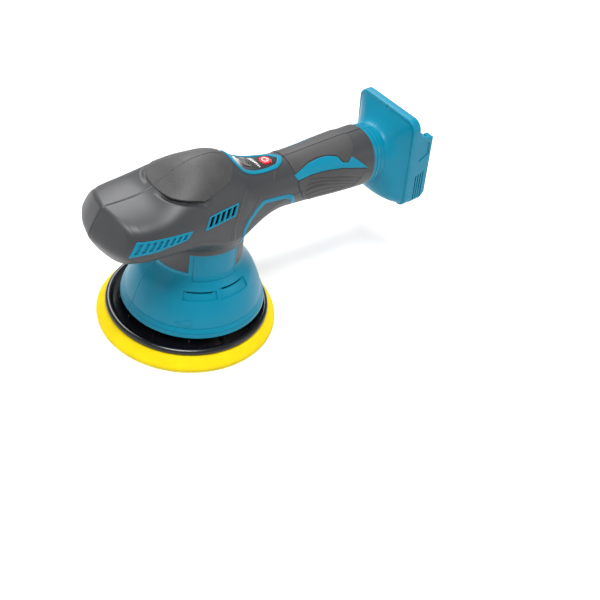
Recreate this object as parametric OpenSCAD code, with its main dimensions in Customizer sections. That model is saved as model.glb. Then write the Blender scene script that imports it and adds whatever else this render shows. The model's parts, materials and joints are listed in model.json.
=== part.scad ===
// Cordless dual action polisher: two moulded body halves over a vertical motor, a bell
// housing, a free-turning pad carried on an eccentric, and a slide-on battery foot.
// Millimetres. +Z is up, the nose points to -X, the handle to +X and the left side is -Y.
// The origin is on the motor axis, in the plane of the pad's working face.

/* [Pad] */
// Diameter of the pad's working face
pad_d = 150; // [146:1:152]
// Distance between the motor axis and the pad axis, half of the orbit
orbit_offset = 4.5; // [3:0.5:5]
// Height from the working face to the top of the foam
foam_top = 12; // [10:0.5:13]

/* [Bell housing] */
// Outer radius of the bell at its lower edge
bell_r = 59.8; // [58:0.2:61]
// Height of the bell's lower edge above the working face
bell_z = 21.5; // [21:0.5:23]
// Outer radius of the round neck between bell and body
neck_r = 37; // [36.5:0.1:37.5]
// Wall of the bell
bell_wall = 2.8; // [2.4:0.1:3]

/* [Body and handle] */
// Wall of the two body halves
body_wall = 2.8; // [2.4:0.1:3]
// How far the soft grips stand above the body
grip_proud = 0.5; // [0.3:0.1:0.8]

/* [Motor] */
// Outer radius of the stator stack
stator_r = 30; // [28:0.5:30]
// Height of the stator stack
stator_h = 24; // [20:1:26]
// Radius of the motor shaft
shaft_r = 5; // [5:0.5:5]

/* [Battery foot] */
// Width of the foot
foot_w = 72; // [70:1:76]
// How far the foot leans back at the bottom, in degrees
foot_lean = 8; // [6:1:10]

/* [Controls] */
// Radius of the power button
button_r = 4.9; // [4.6:0.1:5.2]
// Travel of the power button
button_travel = 0.8; // [0.5:0.1:0.8]

/* [Hidden] */

// Colours
dark = [0.27, 0.27, 0.28];
teal = [0.10, 0.60, 0.74];
black = [0.06, 0.06, 0.07];
steel = [0.72, 0.73, 0.75];
brass = [0.80, 0.62, 0.30];

// ---------- Body surface ----------
// Sections along the body: [x, top z, crown of the top, half width, widest z, lean of the
// flank, sharpness of the upper corner, bottom z, roundness of the lower corner].
stations = [
  [-86, 128.4, .0042, 30.6, 108.0, .0133, 9.0, 94.8, 2.6],
  [-77, 130.3, .0042, 35.0, 108.0, .0133, 10.5, 93.1, 2.6],
  [-65, 131.3, .0040, 38.6, 108.0, .0125, 11, 92.4, 2.6],
  [-50, 133.7, .0043, 40.3, 108.0, .0100, 10.5, 93.6, 2.6],
  [-36, 140.2, .0062, 41.0, 108.0, .0075, 8, 94.8, 2.6],
  [-22, 147.8, .0083, 41.3, 108.0, .0058, 5.4, 95.4, 2.6],
  [ -7, 153.1, .0088, 40.8, 108.0, .0050, 3.6, 95.4, 2.6],
  [  7, 153.6, .0088, 39.1, 108.0, .0042, 3.2, 94.8, 2.6],
  [ 19, 149.2, .0075, 36.5, 108.0, .0042, 3.2, 94.2, 2.5],
  [ 31, 140.4, .0058, 32.6, 109.2, .0042, 3.0, 93.8, 2.4],
  [ 43, 135.1, .0042, 29.0, 109.8, .0033, 2.8, 93.8, 2.3],
  [ 60, 132.9, .0033, 25.2, 110.4, .0033, 2.6, 92.6, 2.2],
  [ 79, 132.7, .0033, 22.8, 110.9, .0025, 2.4, 90.5, 2.2],
  [ 98, 134.7, .0025, 22.7, 111.6, .0017, 2.3, 88.8, 2.1],
  [118, 136.9, .0017, 23.6, 112.3, .0017, 2.4, 87.8, 2.1],
  [139, 139.1, .0017, 24.8, 113.3, .0017, 2.4, 87.6, 2.1],
  [158, 140.5, .0017, 25.6, 114.2, .0017, 2.4, 88.3, 2.1]];
neck_z = 86;                 // height at which the body flares out of the neck
nose_x = -93;                // foremost point of the nose
nose_z = 108;
tail_x = 156;                // rear end of the handle shell
n_up = 8;                    // steps from the top centre line to the widest point
n_down = 8;                  // steps from the widest point to the bottom centre line
last = len(stations) - 1;

function span(x, i = 0) = i >= last - 1 || x < stations[i + 1][0] ? i : span(x, i + 1);
function slope(k, c) = let (a = max(k - 1, 0), b = min(k + 1, last))
  (stations[b][c] - stations[a][c]) / (stations[b][0] - stations[a][0]);
// Value c of the section at x, smooth from station to station
function at(x, c) =
  let (i = span(x), p = stations[i], q = stations[i + 1], h = q[0] - p[0], t = (x - p[0]) / h)
  (2*t*t*t - 3*t*t + 1) * p[c] + (t*t*t - 2*t*t + t) * h * slope(i, c)
  + (3*t*t - 2*t*t*t) * q[c] + (t*t*t - t*t) * h * slope(i + 1, c);
// 0 on the neck's circle, rising to 1 where the underside is free of it
function flare(x, y, r) =
  let (l = norm([x, y]), d = max(0, l - r - 0.00001), c = max(0, x / max(l, 0.01)),
    f = 14.4 + 24 * pow(c, 1.5))
  d >= f ? 1 : sqrt(1 - pow(1 - d / f, 2));
// Upper quarter of a section: a crowned top meets a leaning flank in a soft corner
function upper(x, inset, k) =
  let (zm = at(x, 4), h = at(x, 1) - inset - zm, w = at(x, 3) - inset, p = at(x, 6),
    v = [sin(90 * k / n_up) * w, cos(90 * k / n_up) * h], s = v[0] / norm(v), c = v[1] / norm(v),
    top = 2 * h / (c + sqrt(c*c + 4 * at(x, 2) * s*s * h)),
    flank = 2 * w / (s + sqrt(s*s + 4 * at(x, 5) * c*c * w)),
    r = pow(pow(top, -p) + pow(flank, -p), -1 / p))
  [x, k == 0 ? 0 : r * s, zm + (k == n_up ? 0 : r * c)];
// Lower quarter of a section, which turns down into the round neck
function lower(x, inset, k) =
  let (zm = at(x, 4), w = at(x, 3) - inset, n = at(x, 8), r = neck_r - inset,
    edge = sqrt(max(0, r*r - x*x)), c = k == n_down ? 0 : cos(90 * k / n_down),
    y = edge + (w - edge) * pow(c, 2 / n),
    base = zm - (zm - at(x, 7) - inset) * pow(max(0, 1 - pow(y / w, n)), 1 / n))
  [x, y, neck_z + (base - neck_z) * flare(x, y, r)];
function section(x, inset) =
  [for (k = [0:n_up]) upper(x, inset, k), for (k = [1:n_down]) lower(x, inset, k)];
// The nose: a front face with a shallow V in plan and a slant above and below
function nose_face(y, z) =
  let (d = z - nose_z)
  nose_x + (d > 0 ? 0.55 : 0.66) * (sqrt(d*d + 13) - 3.6) + 0.22 * (sqrt(y*y + 6) - 2.45)
  + 0.008 * pow(max(0, abs(y) - 12), 2);
function nose_ring(s, inset) =
  let (e = max(0, s - 0.9) / 0.1)
  [for (p = section(-76, inset)) let (y = p[1] * s, z = nose_z + (p[2] - nose_z) * s)
    [nose_face(y, z) + inset + 3.2 * (1 - sqrt(1 - e*e)), y, z]];
nose_steps = [0.3, 0.6, 0.82, 0.93, 0.98, 1];
body_x = [
  for (i = [0:4]) -70 + 6.5 * i,
  for (i = [0:14]) -neck_r * cos(180 * i / 14),
  for (i = [1:16]) neck_r + (tail_x - neck_r) * i / 16];

function quad(a, b, c, d) = [[a, b, c], [a, c, d]];
// One half of the hollow body on the +Y side, from the surface inset by out to the one inset by in
module half_shell(out, in) {
  o = [for (s = nose_steps) nose_ring(s, out), for (x = body_x) section(x, out)];
  i = [for (s = nose_steps) nose_ring(s, in), for (x = body_x) section(x, in)];
  m = len(o[0]);
  n = len(o);
  b = m * n;
  e = (n - 1) * m;
  tip = nose_face(0, nose_z);
  points = [for (r = o) each r, for (r = i) each r, [tip + out, 0, nose_z], [tip + in, 0, nose_z]];
  faces = [
    for (j = [0:n - 2], k = [0:m - 2]) each
      quad(j*m + k, j*m + k + 1, (j + 1)*m + k + 1, (j + 1)*m + k),
    for (j = [0:n - 2], k = [0:m - 2]) each
      quad(b + j*m + k, b + (j + 1)*m + k, b + (j + 1)*m + k + 1, b + j*m + k + 1),
    for (k = [0:m - 2]) [2*b, k + 1, k],
    for (k = [0:m - 2]) [2*b + 1, b + k, b + k + 1],
    for (j = [0:n - 2]) each quad(j*m, (j + 1)*m, b + (j + 1)*m, b + j*m),
    for (j = [1:n - 1]) each quad(j*m - 1, b + j*m - 1, b + (j + 1)*m - 1, (j + 1)*m - 1),
    for (k = [0:m - 2]) each quad(e + k, e + k + 1, b + e + k + 1, b + e + k),
    [2*b, 0, b], [2*b, b, 2*b + 1],
    [2*b, 2*b + 1, b + m - 1], [2*b, b + m - 1, m - 1]];
  polyhedron(points, faces, convexity = 6);
}
// A piece of the body's skin on the +Y side, from x0 to x1, between ring steps k0 and k1
module skin(x0, x1, n, out, in, k0 = 0, k1 = n_up + n_down) {
  function part(x, inset) = let (s = loft(x, inset)) [for (k = [k0:k1]) s[k]];
  xs = [for (i = [0:n]) x0 + (x1 - x0) * i / n];
  m = k1 - k0 + 1;
  b = m * (n + 1);
  points = [for (x = xs) each part(x, out), for (x = xs) each part(x, in)];
  faces = [
    for (j = [0:n - 1], k = [0:m - 2]) each
      quad(j*m + k, j*m + k + 1, (j + 1)*m + k + 1, (j + 1)*m + k),
    for (j = [0:n - 1], k = [0:m - 2]) each
      quad(b + j*m + k, b + (j + 1)*m + k, b + (j + 1)*m + k + 1, b + j*m + k + 1),
    for (j = [0:n - 1]) each quad(j*m, (j + 1)*m, b + (j + 1)*m, b + j*m),
    for (j = [0:n - 1]) each
      quad(j*m + m - 1, b + j*m + m - 1, b + (j + 1)*m + m - 1, (j + 1)*m + m - 1),
    for (k = [0:m - 2]) each quad(k + 1, k, b + k, b + k + 1),
    for (k = [0:m - 2]) each
      quad(n*m + k, n*m + k + 1, b + n*m + k + 1, b + n*m + k)];
  polyhedron(points, faces, convexity = 6);
}

// ---------- Helpers ----------
// A slice of a ring about the Z axis, between two azimuths in degrees
module sector(r0, r1, z0, z1, a0, a1) {
  rotate([0, 0, a0]) rotate_extrude(angle = a1 - a0, $fn = 96)
    translate([r0, z0]) square([r1 - r0, z1 - z0]);
}
module ring(r0, r1, z0, z1) {
  translate([0, 0, z0]) difference() {
    cylinder(r = r1, h = z1 - z0, $fn = 96);
    translate([0, 0, -1]) cylinder(r = r0, h = z1 - z0 + 2, $fn = 96);
  }
}
// A cylinder along +Y from y0 to y1 through (x, z)
module rod_y(x, z, r, y0, y1) {
  translate([x, y0, z]) rotate([-90, 0, 0]) cylinder(r = r, h = y1 - y0, $fn = 48);
}
// An outline drawn in X and Z, extruded along Y over the +Y side
module side_prism(points, depth = 60) {
  translate([0, depth, 0]) rotate([90, 0, 0]) linear_extrude(depth) polygon(points);
}
module left() { mirror([0, 1, 0]) children(); }
module both() { children(); mirror([0, 1, 0]) children(); }
// A wire along a list of points, its straight lengths running a little into each other at bends
module wire(points, r) {
  for (i = [0:len(points) - 2]) {
    d = points[i + 1] - points[i];
    start = i > 0 ? r * 0.6 : 0;
    end = i < len(points) - 2 ? r * 0.6 : 0;
    translate(points[i]) rotate([0, acos(d[2] / norm(d)), atan2(d[1], d[0])])
      translate([0, 0, -start]) cylinder(r = r, h = norm(d) + start + end, $fn = 12);
  }
}

// ---------- Pad ----------
pad_r = pad_d / 2;
hook_t = 1.6;
plate_z = foam_top + 2.6;      // top of the backing plate's floor
hub_z = foam_top + 10;         // top of the backing plate's hub
stud_r = 4;
shaft_fit = shaft_r - 0.04;    // shaft radius inside its bearings
spindle_r = 5.96;              // spindle radius inside its bearings
bearing_w = 8;
pad_bearing_z = 26;            // underside of the lower pad bearing
module on_pad_axis() { translate([-orbit_offset, 0, 0]) children(); }

module hook_face() {
  color([0.85, 0.80, 0.20]) on_pad_axis() cylinder(r = pad_r - 0.5, h = hook_t, $fn = 128);
}
module foam_pad() {
  color([0.98, 0.85, 0.02]) on_pad_axis() rotate_extrude($fn = 128) polygon([
    [0, hook_t], [pad_r - 0.6, hook_t], [pad_r, 3], [pad_r - 0.4, 4.6], [pad_r - 1.8, 6.4],
    [67.2, foam_top], [0, foam_top]]);
}
module backing_plate() {
  color(black) on_pad_axis() difference() {
    union() {
      rotate_extrude($fn = 128) polygon([
        [0, foam_top], [67.2, foam_top], [67.9, foam_top + 1], [67.6, foam_top + 3.2],
        [65.8, foam_top + 4.6], [63.6, foam_top + 4.2], [61.6, plate_z], [16, plate_z],
        [16, hub_z], [0, hub_z]]);
      for (i = [0:11]) rotate([0, 0, 30 * i]) translate([15, -1, foam_top + 1]) cube([40, 2, 5]);
    }
    translate([0, 0, foam_top + 2]) cylinder(r = stud_r, h = 20, $fn = 48);
    translate([0, 0, foam_top + 1.9]) cylinder(r = 6.5 / cos(30), h = 4, $fn = 6);
    for (a = [0, 180]) rotate([0, 0, a]) translate([61, -0.4, foam_top + 2.2]) cube([3, 0.8, 6]);
  }
}
module pad_stud() {
  color(steel) on_pad_axis() {
    translate([0, 0, foam_top + 1.9]) cylinder(r = 6.5 / cos(30), h = 4, $fn = 6);
    translate([0, 0, foam_top + 5.9]) cylinder(r = stud_r, h = 17.1, $fn = 48);
  }
}
module pad_washer() { color(black) on_pad_axis() ring(stud_r, 13, hub_z, hub_z + 1); }
module pad_spindle() {
  color(steel) on_pad_axis() difference() {
    union() {
      translate([0, 0, hub_z + 1]) cylinder(r = 9, h = 2, $fn = 64);
      translate([0, 0, hub_z + 3]) cylinder(r = 7.4, h = pad_bearing_z - hub_z - 3, $fn = 64);
      translate([0, 0, pad_bearing_z]) cylinder(r = spindle_r, h = 17.2, $fn = 64);
    }
    translate([0, 0, hub_z]) cylinder(r = stud_r, h = 13, $fn = 48);
    for (s = [-1, 1]) translate([s * 11.5 - 4, -10, hub_z]) cube([8, 20, 3]);
  }
}

// ---------- Eccentric, shaft and rotor ----------
hub_top = 51;
web_z = pad_bearing_z + 2 * bearing_w + 1.5;
shaft_z = web_z + 0.7;
bearing_r = 14;                // outer radius of the pad bearings
module eccentric_hub() {
  color(steel) difference() {
    union() {
      on_pad_axis() translate([0, 0, 23.6]) cylinder(r = 18.5, h = 23.4, $fn = 96);
      translate([0, 0, 46]) cylinder(r = 10, h = hub_top - 46, $fn = 64);
    }
    on_pad_axis() translate([0, 0, 23]) cylinder(r = bearing_r, h = web_z - 23, $fn = 96);
    on_pad_axis() ring(bearing_r - 1, bearing_r + 1, 24.6, 25.8);
    translate([0, 0, shaft_z]) cylinder(r = shaft_fit, h = 10, $fn = 64);
  }
}
module counterweight() {
  color(brass) difference() {
    sector(12, 42, 29, 39, -72, 72);
    on_pad_axis() cylinder(r = 18.5, h = 60, $fn = 96);
  }
}
module bearing(r0, r1, z, w) {
  color(steel) translate([0, 0, z]) difference() {
    cylinder(r = r1, h = w, $fn = 96);
    translate([0, 0, -1]) cylinder(r = r0, h = w + 2, $fn = 64);
    for (h = [-1, w - 0.4]) translate([0, 0, h])
      ring(r0 + (r1 - r0) * 0.3, r0 + (r1 - r0) * 0.7, 0, 1.4);
  }
}
module pad_bearing_lower() { on_pad_axis() bearing(6, bearing_r, pad_bearing_z, bearing_w); }
module pad_bearing_upper() {
  on_pad_axis() bearing(6, bearing_r, pad_bearing_z + bearing_w + 1.5, bearing_w);
}
module retaining_ring() {
  color(steel) on_pad_axis() difference() {
    ring(bearing_r - 2, bearing_r + 1, 24.6, 25.8);
    translate([0, -3, 24]) cube([20, 6, 3]);
  }
}
core_z = 86;
core_top = core_z + stator_h;
module motor_shaft() {
  color(steel) {
    translate([0, 0, shaft_z]) cylinder(r = shaft_fit, h = core_top + 11.5 - shaft_z, $fn = 64);
    translate([0, 0, core_top + 11.5]) cylinder(r = 3.96, h = 8, $fn = 64);
  }
}
module fan() {
  color(black) difference() {
    union() {
      translate([0, 0, 66]) cylinder(r = 30, h = 1.6, $fn = 96);
      translate([0, 0, 66]) cylinder(r = 9, h = 10, $fn = 64);
      for (i = [0:10]) rotate([0, 0, i * 360 / 11]) translate([12, 0, 67])
        rotate([0, 0, 24]) cube([16, 1.4, 8.4]);
    }
    translate([0, 0, 65]) cylinder(r = shaft_fit, h = 20, $fn = 64);
  }
}
rotor_r = 12.5;
magnet_r = 16;
module rotor_core() { color([0.45, 0.45, 0.47]) ring(shaft_fit, rotor_r, core_z, core_top); }
module rotor_magnets() {
  color([0.3, 0.3, 0.32]) for (i = [0:3])
    sector(rotor_r, magnet_r, core_z + 0.5, core_top - 0.5, 90 * i + 2, 90 * i + 88);
}

// ---------- Motor housing ----------
tooth_w = 7;
module stator_core() {
  color([0.5, 0.5, 0.52]) translate([0, 0, core_z]) linear_extrude(stator_h) difference() {
    circle(stator_r, $fn = 96);
    circle(magnet_r + 0.6, $fn = 96);
    for (i = [0:5]) rotate(60 * i + 30) difference() {
      intersection() {
        difference() { circle(stator_r - 3.4, $fn = 96); circle(magnet_r + 3, $fn = 96); }
        polygon([[0, 0], [60, 36], [60, -36]]);
      }
      for (s = [-1, 1]) rotate(30 * s) translate([0, -tooth_w/2]) square([60, tooth_w]);
    }
    for (i = [0:5]) rotate(60 * i + 30) translate([magnet_r, -1]) square([4, 2]);
  }
}
module stator_windings() {
  color([0.75, 0.42, 0.18]) for (i = [0:5]) rotate([0, 0, 60 * i]) difference() {
    translate([magnet_r + 3.3, -tooth_w/2 - 2, core_z - 5]) cube([6.6, tooth_w + 4, stator_h + 10]);
    translate([10, -tooth_w/2, core_z]) cube([30, tooth_w, stator_h]);
  }
}
can_r = stator_r + 2.4;
module motor_can() {
  color([0.6, 0.61, 0.63]) {
    ring(stator_r, can_r, core_z - 6, core_top + 8);
    ring(can_r - 0.5, 34, core_z - 6, core_z - 4);
  }
}
cap_z = core_top + 8;
module motor_end_cap() {
  color(black) difference() {
    union() {
      translate([0, 0, cap_z]) cylinder(r = can_r, h = 3, $fn = 96);
      translate([0, 0, cap_z]) cylinder(r = 14, h = 14.5, $fn = 64);
    }
    translate([0, 0, cap_z - 1]) cylinder(r = 7, h = 10, $fn = 64);
    translate([0, 0, core_top + 12.5]) cylinder(r = 11, h = 7, $fn = 64);
    for (i = [0:5]) sector(17, 28, cap_z - 1, cap_z + 4, 60 * i + 10, 60 * i + 50);
  }
}
module upper_bearing() { bearing(4, 11, core_top + 12.5, 7); }
module lower_bearing() { bearing(shaft_r, 13, 55, bearing_w); }

plate_screw_r = 37.5;
module bearing_plate() {
  color([0.66, 0.67, 0.69]) difference() {
    union() {
      translate([0, 0, 52]) cylinder(r = 40.8, h = 3, $fn = 96);
      translate([0, 0, 52]) cylinder(r = 17, h = 12, $fn = 64);
    }
    translate([0, 0, 50]) cylinder(r = 9, h = 8, $fn = 64);
    translate([0, 0, 55]) cylinder(r = 13, h = 10, $fn = 64);
    for (i = [0:3]) {
      sector(21, 33, 51, 60, 90 * i + 14, 90 * i + 76);
      rotate([0, 0, 90 * i + 45]) translate([plate_screw_r, 0, 50]) cylinder(r = 2, h = 8, $fn = 32);
      rotate([0, 0, 90 * i]) translate([0, 0, 50]) sector(36, 42, 0, 10, -9, 9);
    }
  }
}
module bearing_plate_screws() {
  color(steel) for (i = [0:3]) rotate([0, 0, 90 * i + 45]) translate([plate_screw_r, 0, 0])
    difference() {
      union() {
        translate([0, 0, 45]) cylinder(r = 1.6, h = 10, $fn = 32);
        translate([0, 0, 55]) cylinder(r = 2.8, h = 1.4, $fn = 32);
      }
      translate([0, 0, 55.5]) cylinder(r = 1.4, h = 3, $fn = 6);
    }
}

// ---------- Bell housing ----------
neck_top = 66;                 // top of the full-width neck
collar_in = neck_r - 2.7;      // inner radius of the body's skirt and the bell's tabs
sleeve_r = neck_r - 3.5;       // outer radius of the bell's sleeve inside the skirt
sleeve_in = sleeve_r - 2;
skirt_nose_z = 68.4;           // lower edge of the body's skirt on the nose side
tab_top = 90;                  // top of the bell's side tabs
tab_a = [66, 132];             // azimuths of the gap in the body's skirt for a side tab
bell_curve = [
  [bell_r, bell_z], [bell_r - 1, 25.2], [bell_r - 3, 28.8], [54.4, 36.5], [50.9, 45],
  [46.9, 52.6], [41.8, 58.6], [38.4, 63], [neck_r, neck_top - 0.3]];
function bell_at(z, i = 0) =
  i >= len(bell_curve) - 1 ? neck_r :
  z > bell_curve[i + 1][1] ? bell_at(z, i + 1) :
  bell_curve[i][0] + (bell_curve[i + 1][0] - bell_curve[i][0]) * (z - bell_curve[i][1])
    / (bell_curve[i + 1][1] - bell_curve[i][1]);
// The bell's outer line from z0 to z1, moved out by d, in steps fit for a smooth cut
function bell_line(z0, z1, d) = [for (i = [0:6]) let (z = z0 + (z1 - z0) * i / 6) [bell_at(z) + d, z]];
module bell_cut(z0, z1, depth, a0, a1) {
  rotate([0, 0, a0]) rotate_extrude(angle = a1 - a0, $fn = 96)
    polygon(concat(bell_line(z0, z1, -depth), [[70, z1], [70, z0]]));
}
bell_screw_x = 41;
bell_screw_z = 46;
module bell_half() {
  difference() {
    union() {
      rotate_extrude(angle = 180, $fn = 128) polygon(concat(bell_curve, [
        [neck_r, tab_top], [collar_in, tab_top], [collar_in, 80], [sleeve_in, 80],
        [sleeve_in, 61.5], [38.7, 58.8], [44.1, 52.2], [48.1, 45], [51.6, 36.5], [54, 28.8],
        [bell_r - bell_wall, bell_z]]));
      for (a = [45, 135]) rotate([0, 0, a]) intersection() {
        translate([plate_screw_r, 0, 43]) union() {
          cylinder(r = 4, h = 9, $fn = 48);
          translate([0, -2, 0]) cube([9, 4, 9]);
        }
        rotate_extrude($fn = 96) polygon([[0, 40], [49.5, 43], [46, 52], [0, 52]]);
      }
      for (s = [-1, 1]) intersection() {
        rod_y(s * bell_screw_x, bell_screw_z, 5.2, 0, 30);
        rotate_extrude($fn = 96) polygon([[0, 38], [52, 40], [46.8, 51.5], [0, 51.5]]);
      }
    }
    sector(sleeve_r, neck_r + 2, neck_top, tab_top + 2, -4, tab_a[0] + 0.3);
    sector(sleeve_r, neck_r + 2, skirt_nose_z, tab_top + 2, tab_a[1] - 0.3, 184);
    for (a = [45, 135]) rotate([0, 0, a]) translate([plate_screw_r, 0, 44])
      cylinder(r = 1.6, h = 9, $fn = 32);
    // exhaust recesses with an open slit along each, and the framed panel on the tab
    bell_cut(50, 56, 1.2, 99.8, 133.5);
    bell_cut(49.4, 57, 1.2, 62, 96.4);
    bell_cut(54.2, 55.6, 12, 104, 131);
    bell_cut(55, 56.4, 12, 65, 93);
    for (z = [62, 87]) bell_cut(z, z + 0.8, 0.6, 68.5, 126.5);
    for (a = [68, 126]) bell_cut(62.4, 87.4, 0.6, a, a + 1);
    for (z = [25, 28.4]) bell_cut(z, z + 0.5, 0.4, 0, 180);
  }
}
module bell_arrow() {
  intersection() {
    rotate([0, 0, 118]) rotate_extrude(angle = 24, $fn = 96)
      polygon(concat(bell_line(29.5, 37, 0.5), [[50, 37], [50, 29.5]]));
    rotate([0, 0, 130]) translate([40, 0, 0]) rotate([90, 0, 90]) linear_extrude(30)
      polygon([[-6, 30], [-6, 36], [7, 33]]);
  }
}
module bell_left() {
  color(teal) left() difference() {
    union() { bell_half(); bell_arrow(); }
    for (s = [-1, 1]) rod_y(s * bell_screw_x, bell_screw_z, 1.5, -1, 14);
  }
}
module bell_right() {
  color(teal) difference() {
    union() { bell_half(); bell_arrow(); }
    for (s = [-1, 1]) {
      rod_y(s * bell_screw_x, bell_screw_z, 2, -1, 40);
      rod_y(s * bell_screw_x, bell_screw_z, 3.6, 16, 40);
    }
  }
}
// A cross-head screw along -Y, its head's underside at y on the +Y side
module side_screw(x, z, y, length) {
  difference() {
    union() {
      rod_y(x, z, 1.48, y - length, y);
      rod_y(x, z, 3.2, y, y + 2.4);
    }
    for (a = [0, 90]) translate([x, y + 1.2, z]) rotate([0, a, 0])
      translate([-2, 0, -0.4]) cube([4, 3, 0.8]);
  }
}
module bell_screws() {
  color(steel) for (s = [-1, 1]) side_screw(s * bell_screw_x, bell_screw_z, 16, 29);
}

// ---------- Body ----------
// The body's surface line at x, continued forward over the rounded edge of the nose
function loft(x, inset) = x >= -70 ? section(x, inset) :
  let (t = (x + 86) / 16, a = nose_ring(1, inset), b = section(-70, inset))
  [for (k = [0:last_k]) a[k] + (b[k] - a[k]) * t];
last_k = n_up + n_down;
inlay_depth = 1.2;             // depth of the pockets that hold pads, grips and trims
panel_depth = 1.6;             // depth of the pocket that holds the control panel

// Flat outlines of the applied pieces, half in plan for those on top, in side view otherwise
palm_plan = [[-42.6, 0], [-42.2, 6], [-40.5, 13.6], [-37, 20.9], [-28.8, 27.4], [-17.4, 30.6],
  [-13.5, 30], [-0.7, 26.6], [9.3, 23.3], [13.8, 18.5], [16.7, 12.6], [17.5, 6.5], [17, 0]];
bezel_plan = [[19, 0], [19.4, 5], [20.8, 10], [24.7, 15], [33.5, 14.8], [51.9, 12.2],
  [62.8, 10.5], [70.6, 5.8], [74.4, 0]];
fascia_plan = [[23.6, 0], [24.2, 8], [27, 11.5], [33, 11.4], [39.2, 10.8], [52.8, 8.8],
  [64.3, 6.2], [69.6, 0]];
grille_side = [[-80.3, 107.9], [-73.4, 119.2], [-30.8, 119.3], [-35.5, 113.6], [-59.9, 109.6]];
vent_side = [[-20.8, 115.9], [-15.7, 125], [12.4, 126.6], [8.3, 117.7]];
grip_side = [[76.2, 150], [75.6, 132], [75, 124.8], [78, 120.6], [79, 114], [86, 101],
  [94, 97], [107.4, 97.7], [124, 100], [141, 101.4], [148.3, 112.3], [149.2, 117.6],
  [132.6, 129.6], [135, 132.5], [138, 135.6], [139.2, 138], [139.2, 150]];
inlay_side = [[75, 124.8], [91.8, 129.6], [101, 131.2], [110, 131.9], [119, 130.9],
  [122.4, 126.7], [128.5, 125.8], [132.6, 129.6], [149.2, 117.6], [122, 122.5],
  [104.3, 123.2], [91.6, 122.5], [78, 120.6]];
stripe_side = [[15.4, 88.4], [16.6, 102.7], [21.8, 109.2], [30, 113.9], [38.4, 117.4], [41.7, 117.3],
  [67.4, 112.7], [72.3, 110.5], [76.6, 103.5], [75.7, 99.8], [72.4, 101.4], [69.6, 107.4],
  [65, 109.9], [41.6, 114.6], [33.4, 112], [25.3, 107], [19.4, 101], [18.4, 88.4]];

module plan_prism(points) { translate([0, 0, 60]) linear_extrude(120) polygon(points); }
module palm_skin(out) {
  intersection() { skin(-44, 19, 12, out, inlay_depth, 0, 6); plan_prism(palm_plan); }
}
module panel_skin(out, plan) {
  intersection() { skin(14, 78, 12, out, panel_depth, 0, 4); plan_prism(plan); }
}
module grille_skin(out) {
  intersection() { skin(-84, -28, 9, out, inlay_depth, 3, 10); side_prism(grille_side); }
}
module vent_skin(out) {
  intersection() { skin(-25, 15, 6, out, inlay_depth, 2, 9); side_prism(vent_side); }
}
module stripe_skin(out) {
  intersection() { skin(14, 78, 12, out, 1, 5, last_k); side_prism(stripe_side); }
}
module grip_skin(out, outline) {
  intersection() { skin(71, 151, 10, out, inlay_depth); side_prism(outline); }
}
module vent_slots() {
  for (i = [0:4]) side_prism([[-17.6 + 5.3*i, 117.4 + 0.3*i], [-14 + 5.3*i, 123.8 + 0.25*i],
    [-11 + 5.3*i, 124 + 0.25*i], [-14.6 + 5.3*i, 117.6 + 0.3*i]]);
}
module grille_slots() {
  for (i = [0:7]) let (x = -76.6 + 5.2*i, z = 109.9 + 0.6*i)
    side_prism([[x, z], [x + 0.58 * (117.9 - z), 117.9], [x + 2.8 + 0.58 * (117.9 - z), 117.9],
      [x + 2.8, z + 0.2]]);
}

body_screws_at = [[-67, 108], [46, 108.6], [91, 111.5], [144, 113.4]];
head_y = 12;                   // underside of the screw heads, on the right side
window_x = 37;
window_z = at(window_x, 1);
window_tilt = 25;
module on_window() { translate([window_x, 0, window_z]) rotate([0, window_tilt, 0]) children(); }
window_size = [8.4, 13];
button_x = 57.5;
button_z = at(button_x, 1);

// The body's skirt round the sleeve, between two azimuths, with the same flats as the body's edge
module skirt(z, a0, a1) {
  translate([0, 0, z]) linear_extrude(neck_z + 0.6 - z) difference() {
    polygon([for (i = [0:14]) let (x = -neck_r * cos(180 * i / 14))
      [x, sqrt(max(0, neck_r * neck_r - x * x))]]);
    circle(collar_in, $fn = 96);
    for (a = [a0 > 0 ? a0 : 400, a1 < 180 ? a1 : 400])
      if (a < 400) rotate(a) polygon(a == a0 ? [[0, 0], [60, 0], [60, -80], [0, -60]]
        : [[0, 0], [60, 0], [60, 80], [-60, 80], [-60, 0]]);
  }
}

module body_half() {
  difference() {
    union() {
      half_shell(0, body_wall);
      skirt(skirt_nose_z, tab_a[1], 180);
      skirt(neck_top, 0, tab_a[0]);
      for (p = body_screws_at) rod_y(p[0], p[1], 4.4, 0, at(p[0], 3) - 1.6);
    }
    sector(30, neck_r + 0.4, 60, tab_top, tab_a[0] + 0.1, tab_a[1] - 0.1);
    palm_skin(-3);
    panel_skin(-3, bezel_plan);
    grille_skin(-3);
    vent_skin(-3);
    stripe_skin(-3);
    grip_skin(-3, grip_side);
    vent_slots();
    on_window() translate([-window_size[0]/2 - 0.4, -1, -10])
      cube([window_size[0] + 0.8, window_size[1]/2 + 1.4, 14]);
    translate([button_x, 0, 110]) cylinder(r = button_r + 0.4, h = 40, $fn = 48);
  }
}
module body_left() {
  color(dark) left() difference() {
    body_half();
    for (p = body_screws_at) rod_y(p[0], p[1], 1.5, -1, head_y + 1);
  }
}
module body_right() {
  color(dark) difference() {
    body_half();
    for (p = body_screws_at) {
      rod_y(p[0], p[1], 2, -1, 60);
      rod_y(p[0], p[1], 3.6, head_y, 60);
    }
  }
}
module body_screws() {
  color(steel) for (p = body_screws_at) side_screw(p[0], p[1], head_y, head_y * 2);
}

// ---------- Applied pads, grilles, trims and grips ----------
module palm_pad() {
  color(black) difference() {
    palm_skin(-0.7);
    intersection() {
      skin(-44, 19, 12, -2, -0.2, 0, 6);
      translate([0, 0, 60]) linear_extrude(120) difference() {
        palm_outline(0.93);
        palm_outline(0.89);
      }
    }
  }
}
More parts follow.
